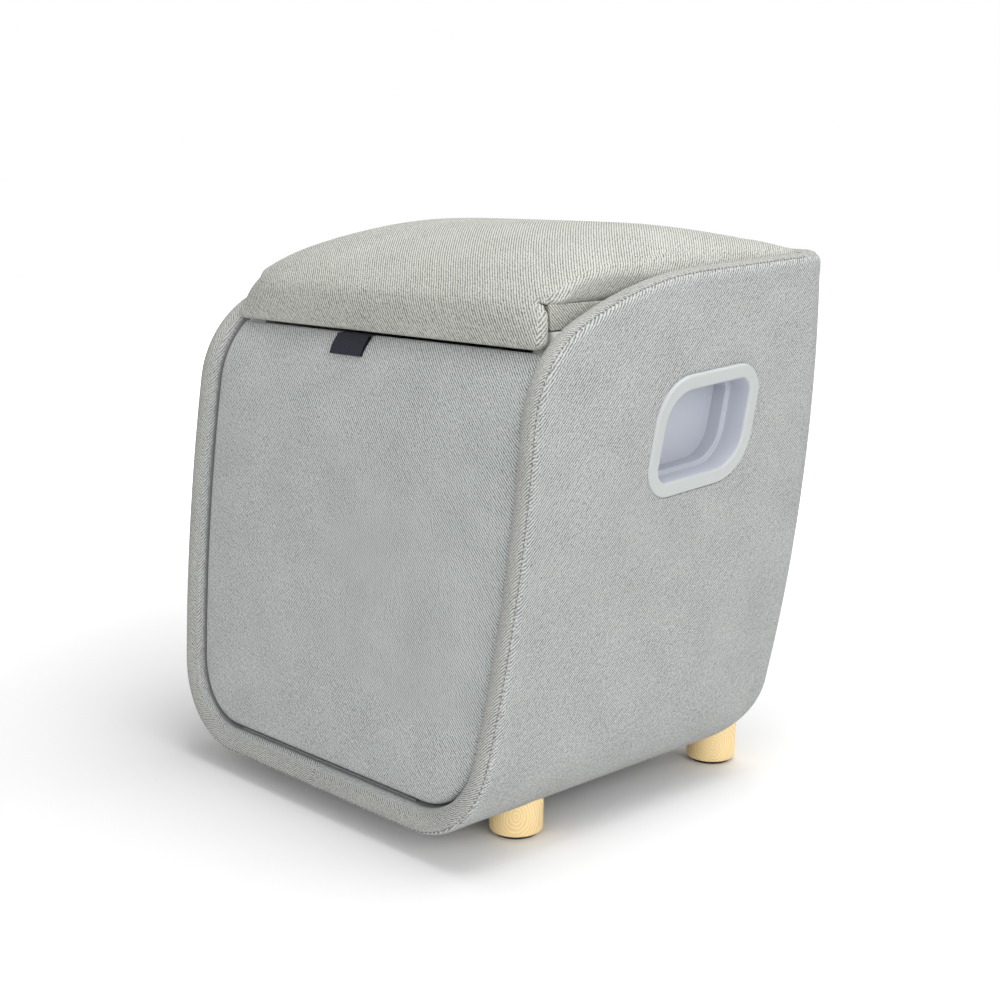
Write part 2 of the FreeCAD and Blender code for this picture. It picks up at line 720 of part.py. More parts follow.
# ---------------------------------------------------------------- pull tab
TAB_LOW, TAB_HIGH = 376.5, 393
TAB_LEFT, TAB_WIDE = -48, 44
TAB_FRONT, TAB_THICK = 1.2, 2.2
tab_top = (nose_y(float(dim["nose_radius"] - dim["panel_recess"]) + TAB_FRONT, TAB_HIGH), TAB_HIGH)
tab_end = (nose_y(float(dim["nose_radius"] - dim["panel_recess"]) + TAB_FRONT, TAB_LOW) - 0.6, TAB_LOW)
tab_run = Vector(0, tab_end[0] - tab_top[0], tab_end[1] - tab_top[1])
tab_out = tab_run.cross(Vector(1, 0, 0)).normalize()
if tab_out.y > 0:
    tab_out = -tab_out
tab_corners = [Vector(0, *tab_top), Vector(0, *tab_end)]
tab_corners += [tab_corners[1] + tab_out * TAB_THICK, tab_corners[0] + tab_out * TAB_THICK]
tab_corners = [corner + Vector(TAB_LEFT, 0, 0) for corner in tab_corners]
tab_face = Part.Face(Part.makePolygon(tab_corners + tab_corners[:1]))
keep(solid("tab", tab_face.extrude(Vector(TAB_WIDE, 0, 0))), "pull_tab")

# ---------------------------------------------------------------- fabric hinge of the front panel
STRIP_HALF = 118
STRIP_THICK = 0.8
strip_low = dim["base_floor"] + 0.1
strip_front = front_line(dim["panel_base"], dim["panel_recess"]) + 6
keep(block("strip", (-STRIP_HALF, strip_front, strip_low), (2 * STRIP_HALF, 34, STRIP_THICK)),
     "front_hinge_strip")
BAR_BACK = 22
clamp_low = (-STRIP_HALF, strip_front + BAR_BACK + 3, strip_low + STRIP_THICK + 0.1)
keep(block("clamp", clamp_low, (2 * STRIP_HALF, 9, 2)), "strip_clamp_bar")


# ---------------------------------------------------------------- steam tub
TUB_SET = PANEL_BACK + 3
wall = dim["tub_wall"]
tub_out = dim["tub_half"] + wall
tub_tall = dim["tub_top"] - dim["tub_floor"]
START_Y = -200
tub_block = block("tub_block", (-tub_out, START_Y, dim["tub_floor"]),
                  (2 * tub_out, dim["tub_back"] + wall - START_Y, tub_tall - dim["ledge_thick"]))
ledge = Part.makeBox(2 * OUTSIDE, OUTSIDE, float(dim["ledge_thick"]),
                     Vector(-OUTSIDE, -OUTSIDE / 2, float(dim["tub_top"] - dim["ledge_thick"])))
lip = lean_slab(TUB_SET, TUB_SET + 3, float(dim["tub_floor"]), float(dim["tub_top"]) - 1)
inner_form = cavity(dim["wall_thick"] + 1)
trim = solid("tub_trim", ledge.fuse(lip).common(inner_form))
tub_hollow = block("tub_hollow", (-dim["tub_half"], START_Y - 50, dim["tub_floor"] + wall),
                   (2 * dim["tub_half"], dim["tub_back"] - START_Y + 50, FAR))
tub_front = solid("tub_front", lean_slab(-150, TUB_SET, 0, FAR))

NOZZLE = (0, 133, dim["nozzle_height"])
FILLER = (-183.2, -83)
NECK_RADIUS = 7
PROBE = (62, 300)
STEM_RADIUS = 3
BUTTON_X = 186
BUTTON_YS = {"power_button": 47, "timer_button": 27, "heat_up_button": 7, "heat_down_button": -13}
tub_holes = [
    rod("nozzle_hole", (0, 122, dim["nozzle_height"]), 18.3, 40, "y"),
    rod("filler_hole", (FILLER[0], FILLER[1], 380), NECK_RADIUS + 0.1, 60),
    rod("probe_hole", (-190, PROBE[0], PROBE[1]), STEM_RADIUS + 0.1, 30, "x"),
]
tub_holes += [rod("stem_hole", (BUTTON_X, y, 400), STEM_RADIUS + 0.1, 20) for y in BUTTON_YS.values()]
keep(cut("tub", fuse("tub_blank", tub_block, trim), tub_hollow, tub_front, *tub_holes), "steam_tub")

KICK_LOW = 42
kick = lean_slab(TUB_SET, TUB_SET + 3, KICK_LOW, float(dim["tub_floor"]) - 0.2).common(inner_form)
keep(solid("kick", kick), "kick_panel")

seal_zone = lean_slab(PANEL_BACK + 0.1, PANEL_BACK + 2.6, 160, 384)
seal_window = lean_slab(PANEL_BACK - 1, PANEL_BACK + 4, 165, 379)
SEAL_OUT, SEAL_IN = 180, 175.5


def between(half):
    return Part.makeBox(2 * half, 2 * OUTSIDE, FAR, Vector(-half, -OUTSIDE, 0))


front_ring = seal_zone.common(between(SEAL_OUT)).cut(seal_window.common(between(SEAL_IN)))
keep(solid("front_gasket", front_ring), "front_seal")
LID_SEAL_OUT, LID_SEAL_IN, LID_SEAL_TALL = 177, 172.5, 2.4
lid_seal_z = dim["lid_floor"] - LID_SEAL_TALL - 0.1
seal_front, seal_back = -110, 141
outer_ring = block("ring_out", (-LID_SEAL_OUT, seal_front, lid_seal_z),
                   (2 * LID_SEAL_OUT, seal_back - seal_front, LID_SEAL_TALL))
inner_ring = block("ring_in", (-LID_SEAL_IN, seal_front + 4.5, lid_seal_z - 1),
                   (2 * LID_SEAL_IN, seal_back - seal_front - 9, LID_SEAL_TALL + 2))
keep(cut("lid_gasket", outer_ring, inner_ring), "lid_seal")

strikes = magnet_discs(MAGNET_RADIUS, TUB_SET - 0.9, 0.8)
keep(solid("strike_pair", strikes[0].fuse(strikes[1])), "strike_plates")

# ---------------------------------------------------------------- foot grate
pitch = dim["slat_width"] + dim["slat_gap"]
batten_z = dim["tub_floor"] + wall + 0.2
slat_z = batten_z + dim["slat_thick"] + 0.1
grate_depth = dim["slat_count"] * pitch - dim["slat_gap"]
slats = [
    block("slat", (-dim["slat_length"] / 2, dim["grate_front"] + pitch * index, slat_z),
          (dim["slat_length"], dim["slat_width"], dim["slat_thick"]))
    for index in range(int(dim["slat_count"]))
]
keep(rounded("grate_top", fuse("slat_group", *slats), 2,
             lambda middle, edge: middle.z > slat_z + 5 and edge.Length > 30), "grate_slats")
BATTEN_X = 120
battens = [
    block("batten", (side * BATTEN_X - dim["batten_width"] / 2, dim["grate_front"] + 4, batten_z),
          (dim["batten_width"], grate_depth - 8, dim["slat_thick"]))
    for side in (-1, 1)
]
keep(fuse("batten_group", *battens), "grate_battens")

# ---------------------------------------------------------------- water side
TANK_LOW = (-172, -88, 66)
tank_size = (dim["tank_wide"], dim["tank_long"], dim["tank_tall"])
thin = dim["tank_wall"]
tank_top = TANK_LOW[2] + dim["tank_tall"]
SPOUT = (-190, -93, 118)
spout_size = (30, 20, tank_top - SPOUT[2])
OUTLET = (-78, 95)


def shrunk(name, low, size, by):
    return block(name, [start + by for start in low], [length - 2 * by for length in size])


tank_outer = rounded("tank_outer", fuse("tank_blank", block("tank_block", TANK_LOW, tank_size),
                                        block("spout_block", SPOUT, spout_size)), 2,
                     lambda middle, edge: edge.Length > 60 and middle.z < tank_top - 1)
tank_inner = fuse("tank_inner", shrunk("tank_hollow", TANK_LOW, tank_size, thin),
                  shrunk("spout_hollow", SPOUT, spout_size, thin))
keep(cut("tank", tank_outer, tank_inner,
         rod("neck_mouth", (FILLER[0], FILLER[1], tank_top - 4), NECK_RADIUS + 0.1, 20),
         rod("drain_mouth", (DRAIN[0], DRAIN[1], 60), 8, 20),
         rod("outlet_mouth", (TANK_LOW[0] + dim["tank_wide"] - 8, OUTLET[0], OUTLET[1]), 3, 20, "x")),
     "water_tank")
NECK_BORE = 5.6
neck_low = tank_top - 2.8
keep(cut("neck", rod("neck_outer", (*FILLER, neck_low), NECK_RADIUS, dim["tub_top"] - neck_low),
         rod("neck_inner", (*FILLER, tank_top - 5), NECK_BORE, dim["tub_top"])), "filler_neck")
CAP_Z = dim["tub_top"] + 0.1
cap_pieces = [rod("cap_disc", (*FILLER, CAP_Z), 10, 3),
              rod("cap_plug", (*FILLER, CAP_Z - 7), NECK_BORE - 0.06, 7.5)]
grip_notches = []
NOTCHES = 12
NOTCH_REACH = 10.4
for index in range(NOTCHES):
    angle = 2 * math.pi * index / NOTCHES
    notch_x = FILLER[0] + NOTCH_REACH * math.cos(angle)
    notch_y = FILLER[1] + NOTCH_REACH * math.sin(angle)
    grip_notches.append(rod("notch", (notch_x, notch_y, CAP_Z - 1), 1.2, 6))
keep(cut("cap", fuse("cap_blank", *cap_pieces), *grip_notches), "filler_cap")

NECK_LOW = 22
drain_tall = TANK_LOW[2] - NECK_LOW - 0.1
keep(cut("drain_tube", rod("drain_outer", (*DRAIN, NECK_LOW), DRAIN_RADIUS, drain_tall),
         rod("drain_bore", (*DRAIN, 0), 8, 90)), "drain_neck")
plug = fuse("plug_blank", rod("plug_stem", (DRAIN[0], DRAIN[1], NECK_LOW - 1), 7.94, 22),
            rod("plug_head", (DRAIN[0], DRAIN[1], NECK_LOW - 3), DRAIN_RADIUS, 2.9))
keep(cut("plug", plug, block("coin_slot", (DRAIN[0] - 8, DRAIN[1] - 1, NECK_LOW - 4), (16, 2, 2.5))),
     "drain_plug")

BOILER_LOW = dim["base_floor"] + 1
spot = (dim["boiler_x"], dim["boiler_y"])
keep(cut("vessel", rod("vessel_outer", (*spot, BOILER_LOW), dim["boiler_radius"], dim["boiler_tall"]),
         rod("vessel_inner", (*spot, BOILER_LOW + dim["boiler_wall"]),
             dim["boiler_radius"] - dim["boiler_wall"], dim["boiler_tall"])), "boiler_vessel")
lid_z = BOILER_LOW + dim["boiler_tall"] + 0.1
hose_y = 143.3
OUTLET_Y = 80
keep(cut("vessel_lid", rod("vessel_cap", (*spot, lid_z), dim["boiler_radius"] + 2, 3),
         rod("vessel_outlet", (0, OUTLET_Y, lid_z - 1), 2.5, 6)), "boiler_lid")
COIL_RADIUS, COIL_WIRE = 24, 4
coil = doc.addObject("Part::Torus", "coil")
bind(coil, "Radius1", COIL_RADIUS)
bind(coil, "Radius2", COIL_WIRE)
place(coil, (*spot, BOILER_LOW + 14))
legs = [rod("coil_leg", (spot[0] + side * COIL_RADIUS, spot[1], BOILER_LOW + 14), COIL_WIRE - 0.8,
            dim["boiler_tall"] - 14.5) for side in (-1, 1)]
keep(fuse("element", coil, *legs), "heating_element")

PUMP_LOW = (-50, -113, dim["base_floor"] + 3)
pump_block = block("pump_block", PUMP_LOW, (36, 40, 30))
keep(rounded("pump_case", pump_block, 3, lambda middle, edge: edge.Length > 10), "pump_body")
keep(rod("motor", (-32, -72.9, dim["base_floor"] + 18), 13, 42, "y"), "pump_motor")
tank_side = TANK_LOW[0] + float(dim["tank_wide"])
pump_top = float(dim["base_floor"]) + 33.1
hose = dim["hose_radius"]
HOSE_BEND = 10
HOSE_BORE = 2
keep(solid("suction", pipe([(tank_side + 0.1, OUTLET[0], OUTLET[1]), (-40, OUTLET[0], OUTLET[1]),
                            (-40, OUTLET[0], pump_top)], HOSE_BEND, hose, HOSE_BORE)), "suction_hose")
keep(solid("feed", pipe([(-22, -98, pump_top), (-22, -98, 90), (-22, 14, 90)], HOSE_BEND, hose, HOSE_BORE)),
     "feed_hose")
nozzle_low = float(dim["nozzle_height"]) - 18.2
keep(solid("steam", pipe([(0, OUTLET_Y, float(lid_z) + 3.1), (0, OUTLET_Y, 140), (0, hose_y, 140),
                          (0, hose_y, nozzle_low)], HOSE_BEND, hose, HOSE_BORE)), "steam_hose")

ball_radius = dim["nozzle_radius"]
seat = doc.addObject("Part::Sphere", "nozzle_seat")
bind(seat, "Radius", ball_radius + 0.06)
place(seat, NOZZLE)
ring = fuse("ring_blank", rod("ring_flange", (0, 127, dim["nozzle_height"]), 24, 8.8, "y"),
            rod("ring_barrel", (0, 135, dim["nozzle_height"]), 18, 16, "y"))
keep(cut("ring", ring, seat, rod("ring_bore", (0, 137, dim["nozzle_height"]), 8, 11, "y")), "nozzle_ring")
ball = doc.addObject("Part::Sphere", "nozzle_sphere")
bind(ball, "Radius", ball_radius)
place(ball, NOZZLE)
keep(cut("eyeball", ball, rod("ball_bore", (0, 112, dim["nozzle_height"]), 5, 40, "y"),
         block("ball_flat", (-20, 102, dim["nozzle_height"] - 20), (40, 20, 40))), "nozzle_ball")
keep(rod("probe", (-181, PROBE[0], PROBE[1]), STEM_RADIUS, 17, "x"), "temperature_probe")

# ---------------------------------------------------------------- power board and fan
BOARD_X, BOARD_Y = 50, -66
BOARD_SIZE = (92, 112)
board_z = dim["base_floor"] + 8
board_parts = [block("circuit_board", (BOARD_X, BOARD_Y, board_z), (*BOARD_SIZE, 1.6))]
# place on the board, then width, length and height: transformer, two capacitors, relay, heat sink
COMPONENTS = (
    (6, 8, 34, 30, 24),
    (48, 10, 16, 28, 16),
    (70, 10, 16, 28, 16),
    (8, 50, 20, 20, 12),
    (40, 52, 44, 8, 20),
)
board_parts += [block("component", (BOARD_X + x, BOARD_Y + y, board_z + 1.5), (wide, long, tall))
                for x, y, wide, long, tall in COMPONENTS]
board_parts.append(rod("capacitor", (BOARD_X + 20, BOARD_Y + 92, board_z + 1.5), 10, 22))
board_parts += [rod("stand_off", (BOARD_X + x, BOARD_Y + y, dim["base_floor"] + 0.1), 3, 8)
                for x in (5, 64) for y in (5, BOARD_SIZE[1] - 5)]
keep(fuse("board_group", *board_parts), "power_board")

FAN_X = -58
FAN_NEAR = -float(dim["wall_thick"]) - 0.1
FAN_FAR = FAN_NEAR - float(dim["fan_depth"])
FAN_BORE = float(dim["fan_size"]) / 2 - 1.2
BLADES = 7
HUB = 9
frame_form = service_box(float(dim["fan_size"]), float(dim["fan_size"]), FAN_FAR, FAN_NEAR, FAN_X)
frame_form = frame_form.cut(service_rod(FAN_X, 0, FAN_BORE, FAN_FAR - 1, FAN_NEAR + 1))
struts = service_box(2 * FAN_BORE + 1, 3, FAN_FAR, FAN_FAR + 2, FAN_X)
struts = struts.fuse(service_box(3, 2 * FAN_BORE + 1, FAN_FAR, FAN_FAR + 2, FAN_X))
stub = service_rod(FAN_X, 0, 1.5, FAN_FAR + 1, FAN_NEAR - 4)
hub_seat = service_rod(FAN_X, 0, HUB, FAN_FAR, FAN_FAR + 2)
keep(solid("fan_housing", frame_form.fuse([struts, stub, hub_seat])), "fan_frame")
rotor = service_rod(FAN_X, 0, HUB, FAN_FAR + 2.5, FAN_NEAR - 1.5)
blade_low, blade_high = FAN_FAR + 3.5, FAN_NEAR - 2.5
for index in range(BLADES):
    blade_long = FAN_BORE - 1 - HUB / 2
    blade = Part.makeBox(blade_long, blade_high - blade_low, 1.2, Vector(HUB / 2, blade_low, -0.6))
    blade.rotate(Vector(0, (blade_low + blade_high) / 2, 0), Vector(1, 0, 0), 40)
    blade = blade.common(Part.makeBox(60, blade_high - blade_low, 60, Vector(0, blade_low, -30)))
    blade.rotate(Vector(), Vector(0, 1, 0), 360 * index / BLADES)
    blade = blade.translated(Vector(FAN_X, 0, 0))
    blade.Placement = service_frame().multiply(blade.Placement)
    rotor = rotor.fuse(blade)
keep(solid("fan_wheel", rotor.cut(service_rod(FAN_X, 0, 1.56, FAN_FAR, FAN_NEAR - 3.5))), "fan_rotor")

# ---------------------------------------------------------------- back service panel
PLATE_OUT, PLATE_IN = -2, -REBATE + 0.1
INLET_X, SWITCH_X = 68, 26
plate = service_box(service_wide - 0.6, service_tall - 0.6, PLATE_IN, PLATE_OUT)
INLET_HOLE, SWITCH_HOLE = (27.2, 20), (13, 19.2)
plate_cuts = [service_box(*INLET_HOLE, -9, 3, INLET_X), service_box(*SWITCH_HOLE, -9, 3, SWITCH_X)]
VENTS = 9
for index in range(VENTS):
    slot = service_box(2.6, 26, -9, 3, FAN_X + 4.6 * (index - (VENTS - 1) / 2))
    plate_cuts.append(slot)
plate_cuts += [service_rod(x, z, SCREW_HOLE + 0.1, -9, 3) for x, z in SCREW_PLACES]
keep(solid("service_plate", plate.cut(plate_cuts)), "rear_panel")
screws = []
for x, z in SCREW_PLACES:
    screw = service_rod(x, z, SCREW_HOLE - 0.1, -16, PLATE_OUT + 1)
    head = service_rod(x, z, 3.2, PLATE_OUT + 0.05, PLATE_OUT + 1.9)
    screws.append(screw.fuse(head).cut(service_box(4.5, 0.9, PLATE_OUT + 1, PLATE_OUT + 3, x).translated(
        service_frame().Rotation.multVec(Vector(0, 0, z)))))
keep(solid("panel_screws", screws[0].fuse(screws[1:])), "rear_panel_screws")

inlet = service_box(INLET_HOLE[0] - 0.2, INLET_HOLE[1] - 0.2, -24, PLATE_OUT + 1, INLET_X)
inlet = inlet.fuse(service_box(30.7, 24.5, PLATE_OUT + 0.05, PLATE_OUT + 2.2, INLET_X))
inlet = inlet.cut(service_box(24.2, 16.4, -17, 5, INLET_X))
for x in (-7, 0, 7):
    inlet = inlet.fuse(service_box(1.9, 3.9, -18, -2.5, INLET_X + x))
keep(solid("mains_inlet", inlet), "power_inlet")

housing = service_box(SWITCH_HOLE[0] - 0.2, SWITCH_HOLE[1] - 0.2, -22, PLATE_OUT + 1, SWITCH_X)
housing = housing.fuse(service_box(15, 21, PLATE_OUT + 0.05, PLATE_OUT + 2.2, SWITCH_X))
housing = housing.cut(service_box(9.6, 16.6, -14, 5, SWITCH_X))
keep(solid("switch_body", housing), "switch_housing")
ROCKER_DEPTH = -3
rocker = service_box(9.4, 14, -8, 1.2, SWITCH_X)
rocker = rocker.cut(service_box(20, 8, ROCKER_DEPTH + 4.2, 4, SWITCH_X))
keep(solid("rocker", rocker), "main_switch_rocker")

# ---------------------------------------------------------------- controls on the right ledge
PANEL_X = (176, 193)
PANEL_Y = (-28, 102)
plate_z = dim["tub_top"] + 0.1
CAP_CLEAR = 0.1
CAP_LOW = dim["tub_top"] + 1.8
CAP_HIGH = dim["tub_top"] + 4
WINDOW = (179, 62, 12, 30)
face_size = (PANEL_X[1] - PANEL_X[0], PANEL_Y[1] - PANEL_Y[0], 2)
face = block("face_plate", (PANEL_X[0], PANEL_Y[0], plate_z), face_size)
face_cuts = [rod("key_hole", (BUTTON_X, y, plate_z - 1), dim["button_radius"] + CAP_CLEAR, 4)
             for y in BUTTON_YS.values()]
face_cuts.append(block("window_hole", (WINDOW[0] - 0.1, WINDOW[1] - 0.1, plate_z - 1),
                       (WINDOW[2] + 0.2, WINDOW[3] + 0.2, 4)))
keep(cut("face", face, *face_cuts), "control_panel")
keep(block("window", (WINDOW[0], WINDOW[1], plate_z), (WINDOW[2], WINDOW[3], 1.7)), "display_window")
for label, y in BUTTON_YS.items():
    key_cap = rod(label + "_cap", (BUTTON_X, y, CAP_LOW), dim["button_radius"], CAP_HIGH - CAP_LOW)
    key_stem = rod(label + "_stem", (BUTTON_X, y, CAP_LOW - 7), STEM_RADIUS, 7.5)
    keep(fuse(label + "_blank", key_cap, key_stem), label)

# ---------------------------------------------------------------- checks and export
doc.recompute()
for thing in doc.Objects:
    if "Invalid" in thing.State or "Error" in thing.State:
        raise RuntimeError("%s did not recompute" % thing.Label)
for node in nodes:
    if node.Shape.isNull() or not node.Shape.isValid():
        raise RuntimeError("%s has no valid shape" % node.Label)
os.makedirs("parts", exist_ok=True)
for node in nodes:
    node.Shape.exportStep("parts/%s.step" % node.Label)
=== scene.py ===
import itertools
import json
import math

import bmesh
import bpy
import numpy as np
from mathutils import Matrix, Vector
from mathutils.bvhtree import BVHTree
from mathutils.geometry import convex_hull_2d


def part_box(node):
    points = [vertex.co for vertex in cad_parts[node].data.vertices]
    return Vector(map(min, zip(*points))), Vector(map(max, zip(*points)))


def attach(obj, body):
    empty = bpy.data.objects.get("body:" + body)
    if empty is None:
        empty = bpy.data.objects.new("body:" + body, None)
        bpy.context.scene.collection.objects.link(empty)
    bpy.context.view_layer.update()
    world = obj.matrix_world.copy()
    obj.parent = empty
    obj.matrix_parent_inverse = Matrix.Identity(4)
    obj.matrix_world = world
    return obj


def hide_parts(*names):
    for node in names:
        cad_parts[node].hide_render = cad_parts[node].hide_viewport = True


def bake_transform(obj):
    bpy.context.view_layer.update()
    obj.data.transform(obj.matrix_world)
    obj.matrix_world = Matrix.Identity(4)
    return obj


# Upholstered foot sauna: its fabric, foam, plastic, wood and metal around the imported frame.
# Lengths in the shape formulas are millimetres; meshes are in metres, in the frame's own axes.

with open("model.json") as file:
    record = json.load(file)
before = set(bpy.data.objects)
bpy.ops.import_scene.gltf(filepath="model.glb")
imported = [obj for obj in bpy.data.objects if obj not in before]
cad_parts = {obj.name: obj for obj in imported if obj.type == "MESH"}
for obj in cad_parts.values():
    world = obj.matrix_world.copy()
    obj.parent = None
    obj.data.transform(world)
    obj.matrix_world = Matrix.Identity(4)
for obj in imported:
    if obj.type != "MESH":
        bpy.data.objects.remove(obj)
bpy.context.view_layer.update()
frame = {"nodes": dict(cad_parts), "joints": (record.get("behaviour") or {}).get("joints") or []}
MM = 0.001


def box_mm(label):
    """Lowest and highest corners of a CAD node, in millimetres."""
    return [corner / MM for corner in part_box(label)]


# ---------- driving sizes of the shell
shell_low, shell_high = box_mm("shell_cover")
HALF_WIDTH, BASE, TOP = shell_high.x, shell_low.z, shell_high.z
TOE, BACK_EDGE = shell_low.y, shell_high.y
LEAN = math.radians(7.97)
TOP_SLOPE = math.radians(2.6)
NOSE_RADIUS, NOSE_HEIGHT, BROW_RADIUS = 95, 343, 400
HEEL_RADIUS, BACK_ROUND = 80, 36
SIDE_RADIUS, WIDEST, CORNER_RADIUS = 1380, 288, 82
WALL = 20
RIM_ROUND = 9.2
SEAM = 3.2
GROOVE_DEPTH, GROOVE_WIDTH = 0.9, 1.2
PUFF_HEIGHT, PUFF_WIDTH, PUFF_INSET = 0.35, 6, 8
SKIN = 5
PANEL_RECESS = 8

NOSE_Y = TOE + (NOSE_HEIGHT - BASE) * math.tan(LEAN) + NOSE_RADIUS * math.cos(LEAN)
NOSE_Z = NOSE_HEIGHT - NOSE_RADIUS * math.sin(LEAN)
HEEL_Z = BASE + HEEL_RADIUS
HEEL_Y = BACK_EDGE - (TOP - HEEL_Z) * math.tan(LEAN) - HEEL_RADIUS / math.cos(LEAN)
SIDE_X = HALF_WIDTH - SIDE_RADIUS
CORNER_Z = BASE + CORNER_RADIUS
CORNER_X = SIDE_X + math.sqrt((SIDE_RADIUS - CORNER_RADIUS) ** 2 - (CORNER_Z - WIDEST) ** 2)


def brow_centre():
    """Centre of the long arc between the nose arc and the straight top edge."""
    start_y = BACK_EDGE + BROW_RADIUS * math.sin(TOP_SLOPE) - NOSE_Y
    start_z = TOP - BROW_RADIUS * math.cos(TOP_SLOPE) - NOSE_Z
    along = start_y * math.cos(TOP_SLOPE) + start_z * math.sin(TOP_SLOPE)
    gap = BROW_RADIUS - NOSE_RADIUS
    step = along - math.sqrt(along**2 - start_y**2 - start_z**2 + gap**2)
    return (
        NOSE_Y + start_y - step * math.cos(TOP_SLOPE),
        NOSE_Z + start_z - step * math.sin(TOP_SLOPE),
    )


BROW_Y, BROW_Z = brow_centre()
MEET = math.atan2(NOSE_Z - BROW_Z, NOSE_Y - BROW_Y)
CREST = math.pi / 2 + TOP_SLOPE


# ---------- distances, in millimetres
def front_line(z, inset=0.0):
    return TOE + (z - BASE) * math.tan(LEAN) + inset / math.cos(LEAN)


def back_line(z, inset=0.0):
    return BACK_EDGE - (TOP - z) * math.tan(LEAN) - inset / math.cos(LEAN)


def corner_turn(x, z):
    """Negative below the line from the side arc's centre through the corner arc's centre."""
    return (CORNER_X - SIDE_X) * (z - WIDEST) - (CORNER_Z - WIDEST) * (x - SIDE_X)


def outline_distance(p):
    """Distance to the front-view outline, and the height part of its gradient."""
    x, z = np.abs(p[:, 0]), p[:, 2]
    side_x, side_z = x - SIDE_X, z - WIDEST
    corner_x, corner_z = x - CORNER_X, z - CORNER_Z
    side_reach = np.hypot(side_x, side_z)
    corner_reach = np.maximum(np.hypot(corner_x, corner_z), 1e-6)
    side, corner, floor = side_reach - SIDE_RADIUS, corner_reach - CORNER_RADIUS, BASE - z
    in_corner = (x > CORNER_X) & (corner_turn(x, z) < 0)
    flat = (x <= CORNER_X) & (floor > side)
    distance = np.where(in_corner, corner, np.where(flat, floor, side))
    rise = np.where(in_corner, corner_z / corner_reach, np.where(flat, -1.0, side_z / side_reach))
    return distance, rise


def outline_run(p):
    """Length along the front-view outline, equal to the height on the side walls."""
    x, z = np.abs(p[:, 0]), p[:, 2]
    side = WIDEST + SIDE_RADIUS * np.arctan2(z - WIDEST, x - SIDE_X)
    angle = np.arctan2(z - CORNER_Z, x - CORNER_X)
    low = math.atan2(CORNER_Z - WIDEST, CORNER_X - SIDE_X)
    corner = WIDEST + SIDE_RADIUS * low + CORNER_RADIUS * (angle - low)
    floor = WIDEST + SIDE_RADIUS * low - CORNER_RADIUS * (math.pi / 2 + low) - (CORNER_X - x)
    turn = corner_turn(x, z)
    return np.where((x > CORNER_X) & (turn < 0), corner, np.where(turn < 0, floor, side))


def back_distance(p):
    """Distance to the leaning back and its round heel, and the height part of its gradient."""
    y, z = p[:, 1], p[:, 2]
    plane = (y - back_line(z)) * math.cos(LEAN)
    heel_y, heel_z = y - HEEL_Y, z - HEEL_Z
    reach = np.maximum(np.hypot(heel_y, heel_z), 1e-6)
    below = math.cos(LEAN) * heel_z + math.sin(LEAN) * heel_y < 0
    heel = below & (heel_y > 0)
    floor = below & (heel_y <= 0)
    distance = np.where(heel, reach - HEEL_RADIUS, np.where(floor, BASE - z, plane))
    rise = np.where(heel, heel_z / reach, np.where(floor, -1.0, -math.sin(LEAN)))
    return distance, rise


def profile_angles(y, z):
    """Angles round the centres of the nose and brow arcs, and where the nose arc counts."""
    nose = np.arctan2(z - NOSE_Z, y - NOSE_Y)
    brow = np.arctan2(z - BROW_Z, y - BROW_Y)
    return nose, brow, (nose >= MEET) & (nose <= math.pi - LEAN)


def rim_distance(p):
    """Distance to the front and top edges of the side walls, seen from the side."""
    y, z = p[:, 1], p[:, 2]
    plane = (front_line(z) - y) * math.cos(LEAN)
    _, brow_angle, in_nose = profile_angles(y, z)
    nose = np.hypot(y - NOSE_Y, z - NOSE_Z) - NOSE_RADIUS
    brow = np.hypot(y - BROW_Y, z - BROW_Z) - BROW_RADIUS
    crest = (y - BROW_Y) * math.cos(CREST) + (z - BROW_Z) * math.sin(CREST) - BROW_RADIUS
    top = np.where(brow_angle >= CREST, brow, crest)
    return np.where(in_nose, nose, np.maximum(plane, top))


def profile_run(p):
    """Length along the side-view outline, equal to the height up the front."""
    y, z = p[:, 1], p[:, 2]
    straight = (z - BASE) * math.cos(LEAN) + (y - TOE) * math.sin(LEAN)
    nose_start = (NOSE_HEIGHT - BASE) / math.cos(LEAN)
    nose_angle, brow_angle, in_nose = profile_angles(y, z)
    nose = nose_start + NOSE_RADIUS * (math.pi - LEAN - nose_angle)
    brow_start = nose_start + NOSE_RADIUS * (math.pi - LEAN - MEET)
    brow = brow_start + BROW_RADIUS * (MEET - brow_angle)
    upper = (nose_angle < MEET) & (nose_angle > MEET - math.pi)
    return np.where(in_nose, nose, np.where(upper, brow, straight))


def outer_distance(p):
    """Distance to the outside of the shell, its back corners rounded by a rolling ball."""
    side, side_rise = outline_distance(p)
    back, back_rise = back_distance(p)
    shared = side_rise * back_rise
    u, v = side + BACK_ROUND, back + BACK_ROUND
    turning = (u - v * shared > 0) & (v - u * shared > 0) & (shared < 0.999)
    spread = np.maximum(1 - shared**2, 1e-3)
    ball = np.sqrt(np.maximum(u**2 + v**2 - 2 * u * v * shared, 0) / spread) - BACK_ROUND
    return np.where(turning, ball, np.maximum(side, back))


def ridge(value, width):
    return np.exp(-((value / width) ** 2))


def eased(value):
    """A smooth step from 0 to 1."""
    share = np.clip(value, 0, 1)
    return share**2 * (3 - 2 * share)


def round_meet(first, second, radius):
    """Two surfaces met by a round edge."""
    u, v = first + radius, second + radius
    both = (u > 0) & (v > 0)
    return np.where(both, np.hypot(u, v) - radius, np.maximum(first, second))


